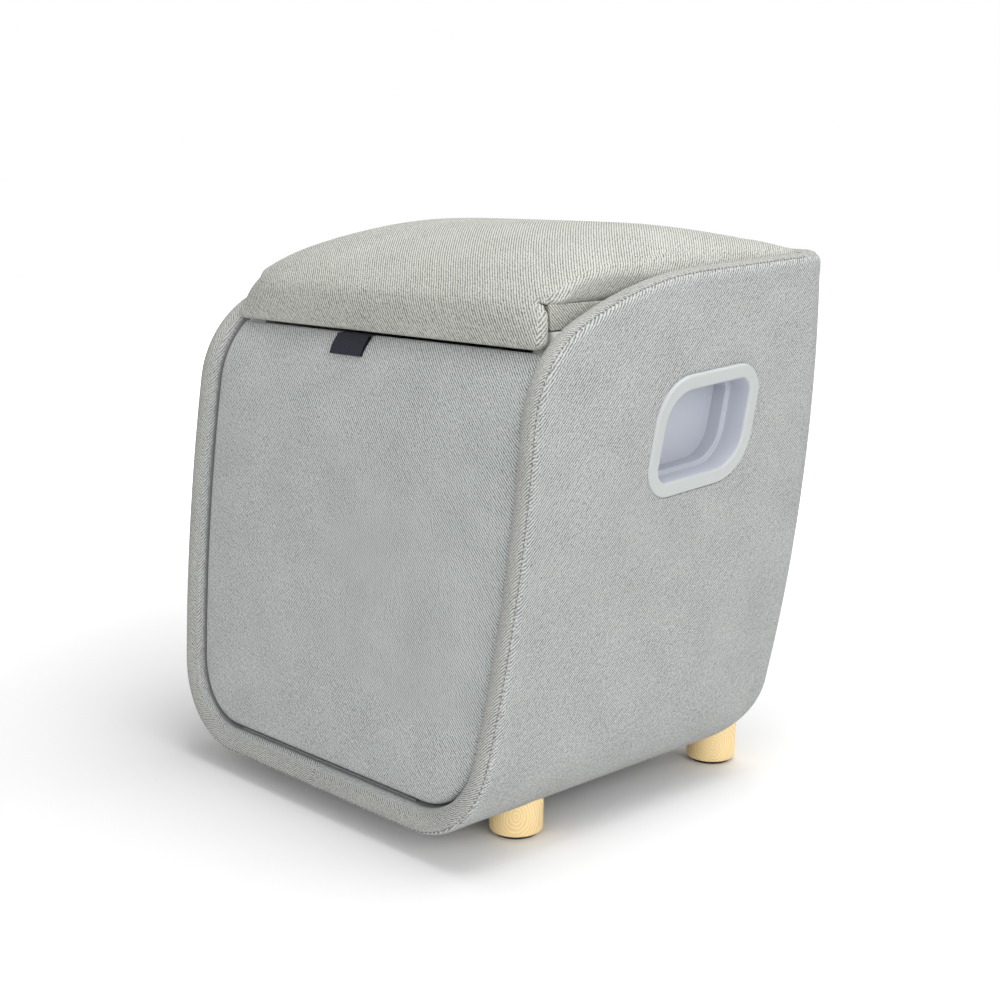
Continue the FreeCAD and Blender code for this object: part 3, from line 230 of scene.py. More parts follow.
def shell_field(p):
    """The padded shell: a wall with a full round rim and a sewn-in seam line along it."""
    outer = outer_distance(p)
    inner = np.maximum(outline_distance(p)[0], back_distance(p)[0]) + WALL
    rim = rim_distance(p)
    padded = np.maximum(outer, -inner)
    form = round_meet(padded, rim, RIM_ROUND)
    outside = ridge(np.minimum(outer, 0), SKIN)
    groove = GROOVE_DEPTH * ridge(rim + SEAM, GROOVE_WIDTH) * outside
    puff = PUFF_HEIGHT * ridge(rim + SEAM + PUFF_INSET, PUFF_WIDTH) * outside
    return form + groove - puff


# ---------- mesh tools
def surface_net(field, low, high, step):
    """Quads near the zero level of a field sampled on a grid; returns points and faces."""
    axes = [np.arange(a, b + step, step) for a, b in zip(low, high)]
    grid = np.stack(np.meshgrid(*axes, indexing="ij"), -1)
    shape = grid.shape[:3]
    inside = (field(grid.reshape(-1, 3)) < 0).reshape(shape)
    cells = np.zeros([n - 1 for n in shape], int)
    for i, j, k in itertools.product((0, 1), repeat=3):
        cells += inside[i : shape[0] - 1 + i, j : shape[1] - 1 + j, k : shape[2] - 1 + k]
    crossed = (cells > 0) & (cells < 8)
    number = np.full(cells.shape, -1)
    number[crossed] = np.arange(crossed.sum())
    points = np.stack([axes[a][index] + step / 2 for a, index in enumerate(np.nonzero(crossed))], -1)
    faces = []
    for axis in range(3):
        b, c = (axis + 1) % 3, (axis + 2) % 3
        first = np.moveaxis(inside, (axis, b, c), (0, 1, 2))
        ids = np.moveaxis(number, (axis, b, c), (0, 1, 2))
        start, stop = first[:-1, 1:-1, 1:-1], first[1:, 1:-1, 1:-1]
        i, j, k = np.nonzero(start != stop)
        outward = start[i, j, k]
        quad = np.stack([ids[i, j, k], ids[i, j + 1, k], ids[i, j + 1, k + 1], ids[i, j, k + 1]], -1)
        faces.append(np.where(outward[:, None], quad, quad[:, ::-1]))
    return points, np.concatenate(faces)


def gradient(field, p, step=0.05):
    parts = []
    for axis in range(3):
        shift = np.zeros(3)
        shift[axis] = step
        parts.append((field(p + shift) - field(p - shift)) / (2 * step))
    return np.stack(parts, -1)


def settle(field, p, rounds=3, reach=3.0):
    """Moves points onto the zero level of a field."""
    for _ in range(rounds):
        slope = gradient(field, p)
        size = np.maximum((slope**2).sum(-1), 0.05)
        step = slope * (field(p) / size)[:, None]
        length = np.maximum(np.linalg.norm(step, axis=-1), 1e-9)
        p = p - step * np.minimum(1, reach / length)[:, None]
    return p


def mesh_points(mesh):
    flat = np.zeros(len(mesh.vertices) * 3)
    mesh.vertices.foreach_get("co", flat)
    return flat.reshape(-1, 3)


def set_points(mesh, points):
    mesh.vertices.foreach_set("co", np.asarray(points, np.float32).ravel())
    mesh.update()


def mesh_edges(mesh):
    flat = np.zeros(len(mesh.edges) * 2, int)
    mesh.edges.foreach_get("vertices", flat)
    return flat.reshape(-1, 2)


def neighbour_mean(points, edges):
    total = np.zeros_like(points)
    count = np.zeros(len(points))
    for a, b in ((0, 1), (1, 0)):
        np.add.at(total, edges[:, a], points[edges[:, b]])
        np.add.at(count, edges[:, a], 1)
    return total / np.maximum(count, 1)[:, None]


def relax(mesh, field, rounds, share=0.5):
    """Evens out a mesh on the zero level of a field."""
    points, edges = mesh_points(mesh) / MM, mesh_edges(mesh)
    for _ in range(rounds):
        points = points + share * (neighbour_mean(points, edges) - points)
        points = settle(field, points, 1)
    set_points(mesh, settle(field, points, 3) * MM)


def link_object(name, data):
    made = bpy.data.objects.new(name, data)
    bpy.context.scene.collection.objects.link(made)
    return made


def new_object(name, points, faces):
    mesh = bpy.data.meshes.new(name)
    mesh.from_pydata([tuple(p) for p in points], [], [tuple(int(i) for i in f) for f in faces])
    mesh.validate()
    mesh.update()
    return link_object(name, mesh)


def form_object(name, form):
    """A new object from a finished bmesh."""
    bmesh.ops.recalc_face_normals(form, faces=form.faces)
    mesh = bpy.data.meshes.new(name)
    form.to_mesh(mesh)
    form.free()
    return link_object(name, mesh)


def shade_smooth(piece, angle=40):
    """Smooth shading with creases kept where faces meet at more than an angle."""
    mesh = piece.data
    mesh.shade_smooth()
    form = bmesh.new()
    form.from_mesh(mesh)
    for edge in form.edges:
        edge.smooth = not (len(edge.link_faces) == 2 and edge.calc_face_angle(0) > math.radians(angle))
    form.to_mesh(mesh)
    form.free()


def apply_modifiers(piece):
    graph = bpy.context.evaluated_depsgraph_get()
    graph.update()
    fresh = bpy.data.meshes.new_from_object(piece.evaluated_get(graph))
    old = piece.data
    piece.modifiers.clear()
    piece.data = fresh
    bpy.data.meshes.remove(old)
    fresh.name = piece.name


def subdivide(piece, levels=1):
    modifier = piece.modifiers.new("subdivision", "SUBSURF")
    modifier.levels = levels
    modifier.render_levels = levels
    apply_modifiers(piece)


def carve(piece, cutters):
    """Cuts solids out of a piece."""
    for cutter in cutters:
        modifier = piece.modifiers.new("cut", "BOOLEAN")
        modifier.operation = "DIFFERENCE"
        modifier.solver = "EXACT"
        modifier.object = cutter
    apply_modifiers(piece)
    for cutter in cutters:
        bpy.data.objects.remove(cutter)


def prism(name, loop, low, high, to_point):
    """A closed prism over a loop of flat points."""
    count = len(loop)
    points = [to_point(a, b, low) for a, b in loop] + [to_point(a, b, high) for a, b in loop]
    faces = [[(i + 1) % count, i, count + i, count + (i + 1) % count] for i in range(count)]
    faces += [list(range(count)), list(range(2 * count - 1, count - 1, -1))]
    piece = new_object(name, points, faces)
    form = bmesh.new()
    form.from_mesh(piece.data)
    bmesh.ops.recalc_face_normals(form, faces=form.faces)
    form.to_mesh(piece.data)
    form.free()
    return piece


def along_x(a, b, x):
    """Place of a side-view point at a given width."""
    return (x, a, b)


def hull_loop(pairs):
    """Outline of a cloud of flat points, in order."""
    return [tuple(pairs[i]) for i in convex_hull_2d([tuple(pair) for pair in pairs])]


def grown(loop, margin):
    """An outline moved outwards from its middle by about a margin."""
    middle = np.mean(loop, axis=0)
    result = []
    for point in loop:
        ray = np.array(point) - middle
        result.append(tuple(middle + ray * (1 + margin / np.linalg.norm(ray))))
    return result


def weave_map(piece, locate):
    """Unrolled fabric coordinates in metres, from locate(points in mm, face normals)."""
    mesh = piece.data
    loops = len(mesh.loops)
    vertex = np.zeros(loops, int)
    mesh.loops.foreach_get("vertex_index", vertex)
    size = np.zeros(len(mesh.polygons), int)
    mesh.polygons.foreach_get("loop_total", size)
    normal = np.zeros(len(mesh.polygons) * 3)
    mesh.polygons.foreach_get("normal", normal)
    normals = np.repeat(normal.reshape(-1, 3), size, axis=0)
    u, v = locate(mesh_points(mesh)[vertex] / MM, normals)
    layer = mesh.uv_layers.new(name="weave")
    layer.data.foreach_set("uv", (np.stack([u, v], -1) * MM).astype(np.float32).ravel())


# ---------- cloth
SIM_FRAMES = 20
PRESSURE = 4.0
STIFFNESS = 12


def inflate(piece, pinned, cap):
    """Swells a closed form like tight upholstery; pinned is a weight per vertex, cap is in mm."""
    scene = bpy.context.scene
    start = mesh_points(piece.data)
    group = piece.vertex_groups.new(name="held")
    for index in np.nonzero(pinned > 0)[0]:
        group.add([int(index)], float(pinned[index]), "REPLACE")
    modifier = piece.modifiers.new("cloth", "CLOTH")
    settings = modifier.settings
    settings.quality = 6
    settings.mass = 0.25
    settings.tension_stiffness = STIFFNESS
    settings.compression_stiffness = STIFFNESS
    settings.shear_stiffness = STIFFNESS / 2
    settings.bending_stiffness = 0.6
    settings.use_pressure = True
    settings.uniform_pressure_force = PRESSURE
    settings.vertex_group_mass = "held"
    settings.effector_weights.gravity = 0
    modifier.point_cache.frame_start = 1
    modifier.point_cache.frame_end = SIM_FRAMES
    for step in range(1, SIM_FRAMES + 1):
        scene.frame_set(step)
    graph = bpy.context.evaluated_depsgraph_get()
    moved = mesh_points(piece.evaluated_get(graph).data)
    piece.modifiers.clear()
    piece.vertex_groups.clear()
    shift = moved - start
    length = np.maximum(np.linalg.norm(shift, axis=-1), 1e-9)
    soft_cap = cap * MM * np.tanh(length / (cap * MM))
    set_points(piece.data, start + shift * (soft_cap / length)[:, None])
    scene.frame_set(1)


# ---------- materials
def shader(name):
    material = bpy.data.materials.new(name)
    material.use_nodes = True
    tree = material.node_tree
    return material, tree, tree.nodes["Principled BSDF"]


def give(tree, target, **values):
    """Sets or links the inputs of a node, named with _ for spaces; other names are its own settings."""
    for key, value in values.items():
        socket = target.inputs.get(key.replace("_", " "))
        if socket is None:
            setattr(target, key, value)
        elif isinstance(value, bpy.types.NodeSocket):
            tree.links.new(value, socket)
        else:
            socket.default_value = value


def node(tree, kind, **values):
    made = tree.nodes.new(kind)
    give(tree, made, **values)
    return made


def math_node(tree, operation, first, second=None):
    made = node(tree, "ShaderNodeMath", operation=operation)
    for index, value in enumerate((first, second)):
        if value is None:
            continue
        if isinstance(value, (int, float)):
            made.inputs[index].default_value = value
        else:
            tree.links.new(value, made.inputs[index])
    return made.outputs[0]


def times(tree, first, second):
    return math_node(tree, "MULTIPLY", first, second)


def plus(tree, first, second):
    return math_node(tree, "ADD", first, second)


def split(tree, vector):
    """The three parts of a vector."""
    return node(tree, "ShaderNodeSeparateXYZ", Vector=vector).outputs


def object_place(tree):
    return node(tree, "ShaderNodeTexCoord").outputs["Object"]


def ramp(tree, value, *stops):
    made = node(tree, "ShaderNodeValToRGB", Fac=value)
    elements = made.color_ramp.elements
    while len(elements) < len(stops):
        elements.new(0.5)
    for element, (place, colour) in zip(elements, stops):
        element.position = place
        element.color = (*colour, 1)
    return made.outputs["Color"]


def mixed(tree, factor, first, second):
    made = node(tree, "ShaderNodeMix", data_type="RGBA")
    for index, value in ((0, factor), (6, first), (7, second)):
        socket = made.inputs[index]
        if isinstance(value, tuple):
            socket.default_value = (*value, 1)
        else:
            tree.links.new(value, socket)
    return made.outputs[2]


def noise(tree, vector, scale, detail=2.0, roughness=0.5):
    made = node(tree, "ShaderNodeTexNoise", Vector=vector, Scale=scale, Detail=detail, Roughness=roughness)
    return made.outputs["Fac"]


def stretched(tree, vector, scale, shift=(0, 0, 0)):
    return node(tree, "ShaderNodeMapping", Vector=vector, Scale=scale, Location=shift).outputs["Vector"]


def bump(tree, bsdf, height, strength, distance):
    made = node(tree, "ShaderNodeBump", Strength=strength, Distance=distance, Height=height)
    give(tree, bsdf, Normal=made.outputs["Normal"])


def fabric(name, light, dark, twill=2.0, lean=1):
    """Heathered twill: slanted ribs, streaky yarns both ways and a soft sheen."""
    material, tree, bsdf = shader(name)
    weave = node(tree, "ShaderNodeUVMap", uv_map="weave").outputs["UV"]
    across, along, _ = split(tree, weave)
    wobble = noise(tree, weave, 420.0, 2.0)
    slant = plus(tree, times(tree, across, float(lean)), along)
    turns = times(tree, slant, math.tau / (twill * MM * math.sqrt(2)))
    turns = plus(tree, turns, times(tree, wobble, 6.0))
    rib = plus(tree, times(tree, math_node(tree, "SINE", turns), 0.5), 0.5)
    warp = noise(tree, stretched(tree, weave, (1000, 260, 1)), 1.0, 3.0, 0.65)
    weft = noise(tree, stretched(tree, weave, (300, 1000, 1)), 1.0, 3.0, 0.65)
    blend = plus(tree, times(tree, rib, 0.42), times(tree, plus(tree, warp, weft), 0.62))
    cloudy = noise(tree, weave, 22.0, 3.0)
    blend = plus(tree, blend, times(tree, cloudy, 0.16))
    colour = ramp(tree, blend, (0.70, dark), (1.12, light))
    give(tree, bsdf, Base_Color=colour, Roughness=0.92, Specular_IOR_Level=0.25)
    give(tree, bsdf, Sheen_Weight=0.03, Sheen_Roughness=0.5)
    bump(tree, bsdf, blend, 0.4, 0.35 * MM)
    return material


def shaded(colour, share):
    return tuple(min(1, part * share) for part in colour)


def plastic(name, colour, rough=0.45, grain=900.0, depth=0.04, coat=0.0):
    """Moulded plastic: fine spark texture, slight mottling and handling wear in the gloss."""
    material, tree, bsdf = shader(name)
    place = object_place(tree)
    patches = noise(tree, place, 14.0, 3.0)
    shade = mixed(tree, patches, shaded(colour, 0.94), shaded(colour, 1.05))
    gloss = plus(tree, times(tree, noise(tree, place, 60.0, 4.0), 0.16), rough - 0.08)
    give(tree, bsdf, Base_Color=shade, Roughness=gloss, Coat_Weight=coat)
    bump(tree, bsdf, noise(tree, place, grain, 2.0), 0.1, depth * MM)
    return material


def handle_finish(name, rim_colour, cup_colour, edge):
    """The grey of the handles: a neutral bezel round a cooler, deeper cup."""
    material = plastic(name, rim_colour, 0.4)
    tree = material.node_tree
    bsdf = tree.nodes["Principled BSDF"]
    base = bsdf.inputs["Base Color"].links[0].from_socket
    width = math_node(tree, "ABSOLUTE", split(tree, object_place(tree))[0])
    outside = math_node(tree, "GREATER_THAN", width, edge)
    give(tree, bsdf, Base_Color=mixed(tree, outside, cup_colour, base))
    return material


def metal(name, colour, rough=0.3, brushed=(30, 900, 900)):
    material, tree, bsdf = shader(name)
    lines = noise(tree, stretched(tree, object_place(tree), brushed), 1.0, 3.0)
    shade = mixed(tree, lines, shaded(colour, 0.85), colour)
    gloss = plus(tree, times(tree, lines, 0.25), rough - 0.1)
    give(tree, bsdf, Base_Color=shade, Metallic=1.0, Roughness=gloss)
    bump(tree, bsdf, lines, 0.2, 0.03 * MM)
    return material


def wood(name, pale, dark, ring, axis, stretch, shift=(0, 0, 0)):
    """Growth rings round an axis, with fine pores along the grain."""
    material, tree, bsdf = shader(name)
    place = object_place(tree)
    placed = stretched(tree, place, stretch, [v * MM for v in shift])
    rings = node(tree, "ShaderNodeTexWave", wave_type="RINGS", rings_direction=axis,
                 wave_profile="SAW", Scale=0.5 / (ring * MM * math.tau), Distortion=3.5,
                 Detail=2.0, Detail_Scale=0.9, Vector=placed)
    pores = noise(tree, stretched(tree, place, (900, 900, 90)), 1.0, 3.0)
    tone = plus(tree, times(tree, rings.outputs["Fac"], 0.75), times(tree, pores, 0.3))
    middle = tuple((a * 2 + b) / 3 for a, b in zip(pale, dark))
    colour = ramp(tree, tone, (0.05, pale), (0.7, middle), (1.0, dark))
    give(tree, bsdf, Base_Color=colour, Roughness=0.42, Coat_Weight=0.15, Coat_Roughness=0.35)
    bump(tree, bsdf, tone, 0.12, 0.12 * MM)
    return material


KNOT_HEIGHT, RING_PITCH = 0.021, 0.0042


def foot_finish(name, pale, dark, low, high):
    """Turned pine: growth rings round a knot on each foot's outer side, and fine pores."""
    material, tree, bsdf = shader(name)
    place = object_place(tree)
    place_x, place_y, place_z = split(tree, place)
    x = math_node(tree, "SUBTRACT", math_node(tree, "ABSOLUTE", place_x), (low[0] + high[0]) / 2)
    in_front = math_node(tree, "LESS_THAN", place_y, 0.0)
    middle = plus(tree, times(tree, in_front, low[1] - high[1]), high[1])
    y = math_node(tree, "SUBTRACT", place_y, middle)
    across = times(tree, plus(tree, x, y), math.sqrt(0.5))
    up = times(tree, math_node(tree, "SUBTRACT", place_z, KNOT_HEIGHT), 0.72)
    reach = math_node(tree, "SQRT", plus(tree, times(tree, across, across), times(tree, up, up)))
    wander = times(tree, noise(tree, place, 75.0, 2.0), 0.006)
    phase = times(tree, plus(tree, reach, wander), math.tau / RING_PITCH)
    wave = math_node(tree, "ABSOLUTE", math_node(tree, "SINE", phase))
    ring = math_node(tree, "POWER", wave, 2.2)
    pores = noise(tree, stretched(tree, place, (1400, 1400, 120)), 1.0, 3.0)
    tone = plus(tree, times(tree, ring, 0.6), times(tree, pores, 0.45))
    colour = ramp(tree, tone, (0.1, pale), (0.95, dark))
    give(tree, bsdf, Base_Color=colour, Roughness=0.45, Coat_Weight=0.1)
    bump(tree, bsdf, tone, 0.1, 0.1 * MM)
    return material


LID_CLOTH = fabric("lid_cloth", (0.545, 0.545, 0.506), (0.17, 0.17, 0.156))
FRONT_CLOTH = fabric("front_cloth", (0.55, 0.57, 0.565), (0.165, 0.175, 0.174))
SHELL_CLOTH = fabric("shell_cloth", (0.515, 0.527, 0.518), (0.155, 0.16, 0.158), lean=-1)
# Darker than the shell cloth: painted shade on the rim band, where it turns away from the light.
SHADED_RIM_CLOTH = fabric("rim_cloth_painted_shade", (0.48, 0.485, 0.46), (0.14, 0.143, 0.136))
THREAD = fabric("seam_thread", (0.20, 0.20, 0.195), (0.09, 0.09, 0.09), twill=0.5)
RIBBON = fabric("ribbon", (0.035, 0.036, 0.05), (0.008, 0.008, 0.014), twill=0.7)
LINING = fabric("inner_lining", (0.34, 0.34, 0.335), (0.22, 0.22, 0.22), twill=0.6)
TAPE = fabric("hinge_tape", (0.30, 0.30, 0.31), (0.12, 0.12, 0.13), twill=1.0)
GREY_PLASTIC = handle_finish("handle_grey", (0.49, 0.515, 0.51), (0.52, 0.54, 0.60), 0.2195)
TUB_PLASTIC = plastic("tub_white", (0.80, 0.80, 0.785), 0.30, grain=400.0, depth=0.03, coat=0.2)
TANK_PLASTIC = plastic("tank_milky", (0.84, 0.87, 0.88), 0.35, grain=300.0, coat=0.1)
DARK_PLASTIC = plastic("dark_shell", (0.035, 0.036, 0.04), 0.5)
KEY_PLASTIC = plastic("key_grey", (0.55, 0.56, 0.58), 0.28, depth=0.02, coat=0.3)
PUMP_PLASTIC = plastic("pump_charcoal", (0.07, 0.075, 0.085), 0.45)
BOARD_GREEN = plastic("board_green", (0.03, 0.16, 0.07), 0.35, grain=500.0, coat=0.4)
SMOKED = plastic("smoked_window", (0.015, 0.017, 0.02), 0.12, depth=0.005, coat=1.0)
RUBBER = plastic("black_rubber", (0.025, 0.025, 0.026), 0.8, grain=1400.0, depth=0.08)
SILICONE = plastic("silicone", (0.52, 0.50, 0.46), 0.5, depth=0.02)
STEEL = metal("steel", (0.62, 0.62, 0.61))
CAST = metal("cast_aluminium", (0.66, 0.66, 0.67), 0.45, brushed=(300, 300, 300))
CHROME = metal("chrome", (0.80, 0.80, 0.81), 0.14)
feet_low, feet_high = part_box("wooden_feet")
FOOT_SPAN = 45.6 * MM
# The pale and dark tones are set brighter than the pine's own: painted light on feet that stand in the
# body's shade.
LIT_FOOT_WOOD = foot_finish("foot_pine_painted_light", (1.0, 0.82, 0.46), (0.90, 0.60, 0.26),
                        (feet_high.x - FOOT_SPAN, feet_low.y + FOOT_SPAN / 2),
                        (feet_high.x, feet_high.y - FOOT_SPAN / 2))
SLAT_WOOD = wood("slat_cedar", (0.74, 0.53, 0.31), (0.50, 0.30, 0.15), 4.5, "X", (0.12, 1, 1), (0, 40, 90))
PLY_WOOD = wood("plywood", (0.74, 0.60, 0.42), (0.55, 0.40, 0.24), 2.2, "Y", (0.2, 1, 1))

FINISHES = (
    (PLY_WOOD, "shell_carcass foot_seat_blocks lid_board front_board"),
    (LIT_FOOT_WOOD, "wooden_feet"),
    (SLAT_WOOD, "grate_slats grate_battens"),
    (RUBBER, "foot_glides front_seal lid_seal"),
    (STEEL, "foot_bolts strip_clamp_bar strike_plates lid_hinge_pins lid_hinge_arms front_magnets"),
    (STEEL, "heating_element pump_motor rear_panel_screws temperature_probe"),
    (CHROME, "nozzle_ring"),
    (CAST, "boiler_vessel boiler_lid"),
    (GREY_PLASTIC, "handle_right handle_left"),
    (TUB_PLASTIC, "steam_tub kick_panel lid_liner front_liner nozzle_ball"),
    (TANK_PLASTIC, "water_tank filler_neck drain_neck"),
    (PUMP_PLASTIC, "pump_body fan_rotor"),
    (DARK_PLASTIC, "fan_frame rear_panel power_inlet switch_housing control_panel filler_cap drain_plug"),
    (KEY_PLASTIC, "main_switch_rocker power_button timer_button heat_up_button heat_down_button"),
    (SMOKED, "display_window"),
    (BOARD_GREEN, "power_board"),
    (SILICONE, "suction_hose feed_hose steam_hose"),
)
# Edge radii in mm, for the nodes whose edges are seen from near.
SOFT_EDGES = (
    (1.2, "steam_tub"),
    (1.0, "lid_liner"),
    (0.8, "front_liner water_tank lid_board"),
    (0.6, "rear_panel kick_panel nozzle_ring"),
    (0.5, "grate_slats filler_cap power_button timer_button heat_up_button heat_down_button"),
    (0.4, "control_panel power_inlet switch_housing main_switch_rocker"),
)


def paint(piece, material):
    piece.data.materials.clear()
    piece.data.materials.append(material)


def dress(piece, material, body=None, replaced=None):
    """The material, the body and the CAD node that a new piece stands for."""
    paint(piece, material)
    if body:
        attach(piece, body)
    if replaced:
        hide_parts(replaced)


def soften(piece, width, segments, angle):
    """Rounds the edges sharper than an angle, through a modifier."""
    bevel = piece.modifiers.new("soft_edges", "BEVEL")
    bevel.width = width * MM
    bevel.segments = segments
    bevel.limit_method = "ANGLE"
    bevel.angle_limit = math.radians(angle)


def finish_cad_nodes():
    for material, names in FINISHES:
        for name in names.split():
            paint(frame["nodes"][name], material)
    for width, names in SOFT_EDGES:
        for name in names.split():
            soften(frame["nodes"][name], width, 2, 50)


# ---------- shell cover
NET_STEP = 5.0
MARGIN = 6
BAND, SEAM_BAND, SEAM_SKIN = 18, 4.5, 7
CUT_PLAY = 0.3 * MM
CUT_INNER, CUT_OUTER = 170 * MM, 260 * MM
PANEL_LEDGE, PANEL_DEPTH, PANEL_REACH = 10 * MM, 40 * MM, 60 * MM
DRAIN_PLAY, DRAIN_SIDES, DRAIN_REACH = 1.5 * MM, 32, 60 * MM


def shell_weave(points, normals):
    rim = rim_distance(points)
    side, _ = outline_distance(points)
    on_back = np.abs(normals[:, 1]) > 0.72
    on_rim = (rim > -SEAM) & (side > -WALL)
    run = profile_run(points) + outline_run(points) - points[:, 2]
    turned = 0.7 * np.clip(side, -RIM_ROUND, 0)
    u = np.where(on_rim, run, np.where(on_back, points[:, 0], points[:, 1] + turned))
    v = np.where(on_rim, -1.4 * side, np.where(on_back, points[:, 2], outline_run(points) + turned))
    return u, v


def handle_cutter(name, label):
    points = mesh_points(frame["nodes"][label].data)
    loop = grown(hull_loop(points[:, 1:3]), CUT_PLAY)
    sign = 1 if box_mm(label)[1].x > 0 else -1
    return prism(name, loop, sign * CUT_INNER, sign * CUT_OUTER, along_x)


def service_cutters():
    """The shallow seat of the back service panel and the opening behind it."""
    points = mesh_points(frame["nodes"]["rear_panel"].data)
    across = Vector((0, math.cos(LEAN), -math.sin(LEAN)))
    up = Vector((0, math.sin(LEAN), math.cos(LEAN)))
    depth = points @ np.array(across)
    height = points @ np.array(up)
    wide = np.abs(points[:, 0]).max() + CUT_PLAY
    low, high = height.min() - CUT_PLAY, height.max() + CUT_PLAY
    inner = depth.min() - 0.1 * MM

    def on_back(a, b, d):
        """Place of a point drawn on the leaning back, at a depth across it."""
        return tuple(Vector((a, 0, 0)) + up * b + across * d)

    cutters = []
    for name, inset, start in (("seat", 0.0, inner), ("opening", PANEL_LEDGE, inner - PANEL_DEPTH)):
        half, bottom, top = wide - inset, low + inset / 2, high - inset / 2
        loop = [(-half, bottom), (half, bottom), (half, top), (-half, top)]
        cutters.append(prism(name, loop, start, inner + PANEL_REACH, on_back))
    return cutters


def drain_cutter():
    low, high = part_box("drain_neck")
    middle = ((low.x + high.x) / 2, (low.y + high.y) / 2)
    radius = (high.x - low.x) / 2 + DRAIN_PLAY
    turn = [math.tau * i / DRAIN_SIDES for i in range(DRAIN_SIDES)]
    loop = [(middle[0] + radius * math.cos(a), middle[1] + radius * math.sin(a)) for a in turn]
    return prism("drain", loop, 0.0, DRAIN_REACH, lambda a, b, z: (a, b, z))


def refine(piece, chosen):
    """Halves the edges whose ends are all chosen, and settles the new points."""
    form = bmesh.new()
    form.from_mesh(piece.data)
    keep = chosen(mesh_points(piece.data) / MM)
    edges = [e for e in form.edges if keep[e.verts[0].index] and keep[e.verts[1].index]]
    bmesh.ops.subdivide_edges(form, edges=edges, cuts=1, use_grid_fill=True)
    form.to_mesh(piece.data)
    form.free()
    relax(piece.data, shell_field, 3)


def near_rim(points):
    return rim_distance(points) > -BAND


def near_seam(points):
    return (np.abs(rim_distance(points) + SEAM) < SEAM_BAND) & (outer_distance(points) > -SEAM_SKIN)


def sort_faces(piece):
    """The sewn band along the rim, in a darker cloth that is painted shade, and the plain lining inside
    the cavity.
    """
    piece.data.materials.append(SHADED_RIM_CLOTH)
    piece.data.materials.append(LINING)
    middles = np.zeros(len(piece.data.polygons) * 3)
    piece.data.polygons.foreach_get("center", middles)
    middles = middles.reshape(-1, 3) / MM
    rim = rim_distance(middles)
    lined = (outer_distance(middles) < -WALL / 2) & (rim < -RIM_ROUND)
    piece.data.polygons.foreach_set("material_index", np.where(lined, 2, (rim > -SEAM).astype(int)))


def build_shell():
    low = (-HALF_WIDTH - MARGIN, TOE - MARGIN, BASE - MARGIN)
    high = (HALF_WIDTH + MARGIN, BACK_EDGE + MARGIN, TOP + MARGIN)
    points, faces = surface_net(shell_field, low, high, NET_STEP)
    piece = new_object("padded_shell", settle(shell_field, points, 4) * MM, faces)
    relax(piece.data, shell_field, 6)
    refine(piece, near_rim)
    refine(piece, near_seam)
    shade_smooth(piece, 60)
    cutters = [handle_cutter("cut_right", "handle_right"), handle_cutter("cut_left", "handle_left")]
    carve(piece, cutters + service_cutters() + [drain_cutter()])
    weave_map(piece, shell_weave)
    shade_smooth(piece, 50)
    dress(piece, SHELL_CLOTH, "shell", "shell_cover")
    sort_faces(piece)


# ---------- stitching along the rim
STITCH_PITCH, STITCH_LENGTH, THREAD_RADIUS = 4.6, 3.0, 0.42


def outline_half(z):
    return SIDE_X + np.sqrt(SIDE_RADIUS**2 - (z - WIDEST) ** 2)


def seam_guess():
    """Rough points along the right half of the seam, from the back corner to the middle of the base."""
    run = [(y, BROW_Z + BROW_RADIUS) for y in np.linspace(BACK_EDGE - 40, BROW_Y, 60)]
    for y, z, radius, start, stop in (
        (BROW_Y, BROW_Z, BROW_RADIUS, CREST, MEET),
        (NOSE_Y, NOSE_Z, NOSE_RADIUS, MEET, math.pi - LEAN),
    ):
        for angle in np.linspace(start, stop, 60):
            run.append((y + radius * math.cos(angle), z + radius * math.sin(angle)))
    run += [(front_line(z), z) for z in np.linspace(NOSE_HEIGHT, CORNER_Z, 100)]
    run = [(outline_half(z), y, z) for y, z in run]
    start = math.atan2(CORNER_Z - WIDEST, CORNER_X - SIDE_X)
    for angle in np.linspace(start, -math.pi / 2, 60):
        z = CORNER_Z + CORNER_RADIUS * math.sin(angle)
        run.append((CORNER_X + CORNER_RADIUS * math.cos(angle), front_line(z), z))
    for x in np.linspace(CORNER_X, 0, 40):
        run.append((x, front_line(BASE), BASE))
    return np.array(run)


def seam_path():
    """Points on the shell at the seam's depth, evenly spaced along the seam."""
    points = seam_guess()

    def off_seam(p):
        return rim_distance(p) + SEAM

    for _ in range(12):
        points = settle(off_seam, points, 1)
        points = settle(shell_field, points, 1)
    steps = np.linalg.norm(np.diff(points, axis=0), axis=1)
    keep = np.concatenate([[True], steps > 0.2])
    points = points[keep]
    length = np.concatenate([[0], np.cumsum(np.linalg.norm(np.diff(points, axis=0), axis=1))])
    even = np.arange(0, length[-1], STITCH_PITCH)
    return np.stack([np.interp(even, length, points[:, axis]) for axis in range(3)], -1)


def thread_bead(form, middle, along, out):
    """One stitch: a short thread that dives into the cloth at both ends."""
    sides, rings = 6, 5
    across = along.cross(out).normalized()
    loops = []
    for ring in range(rings):
        share = ring / (rings - 1) * 2 - 1
        radius = THREAD_RADIUS * math.sqrt(max(0.12, 1 - share**4))
        centre = middle + along * (share * STITCH_LENGTH / 2) + out * (0.25 - 0.5 * share**4)
        loop = []
        for side in range(sides):
            angle = math.tau * side / sides
            spoke = across * math.cos(angle) + out * math.sin(angle)
            loop.append(form.verts.new((centre + spoke * radius) * MM))
        loops.append(loop)
    for first, second in zip(loops, loops[1:]):
        for side in range(sides):
            following = (side + 1) % sides
            form.faces.new((first[side], first[following], second[following], second[side]))
    form.faces.new(loops[0][::-1])
    form.faces.new(loops[-1])


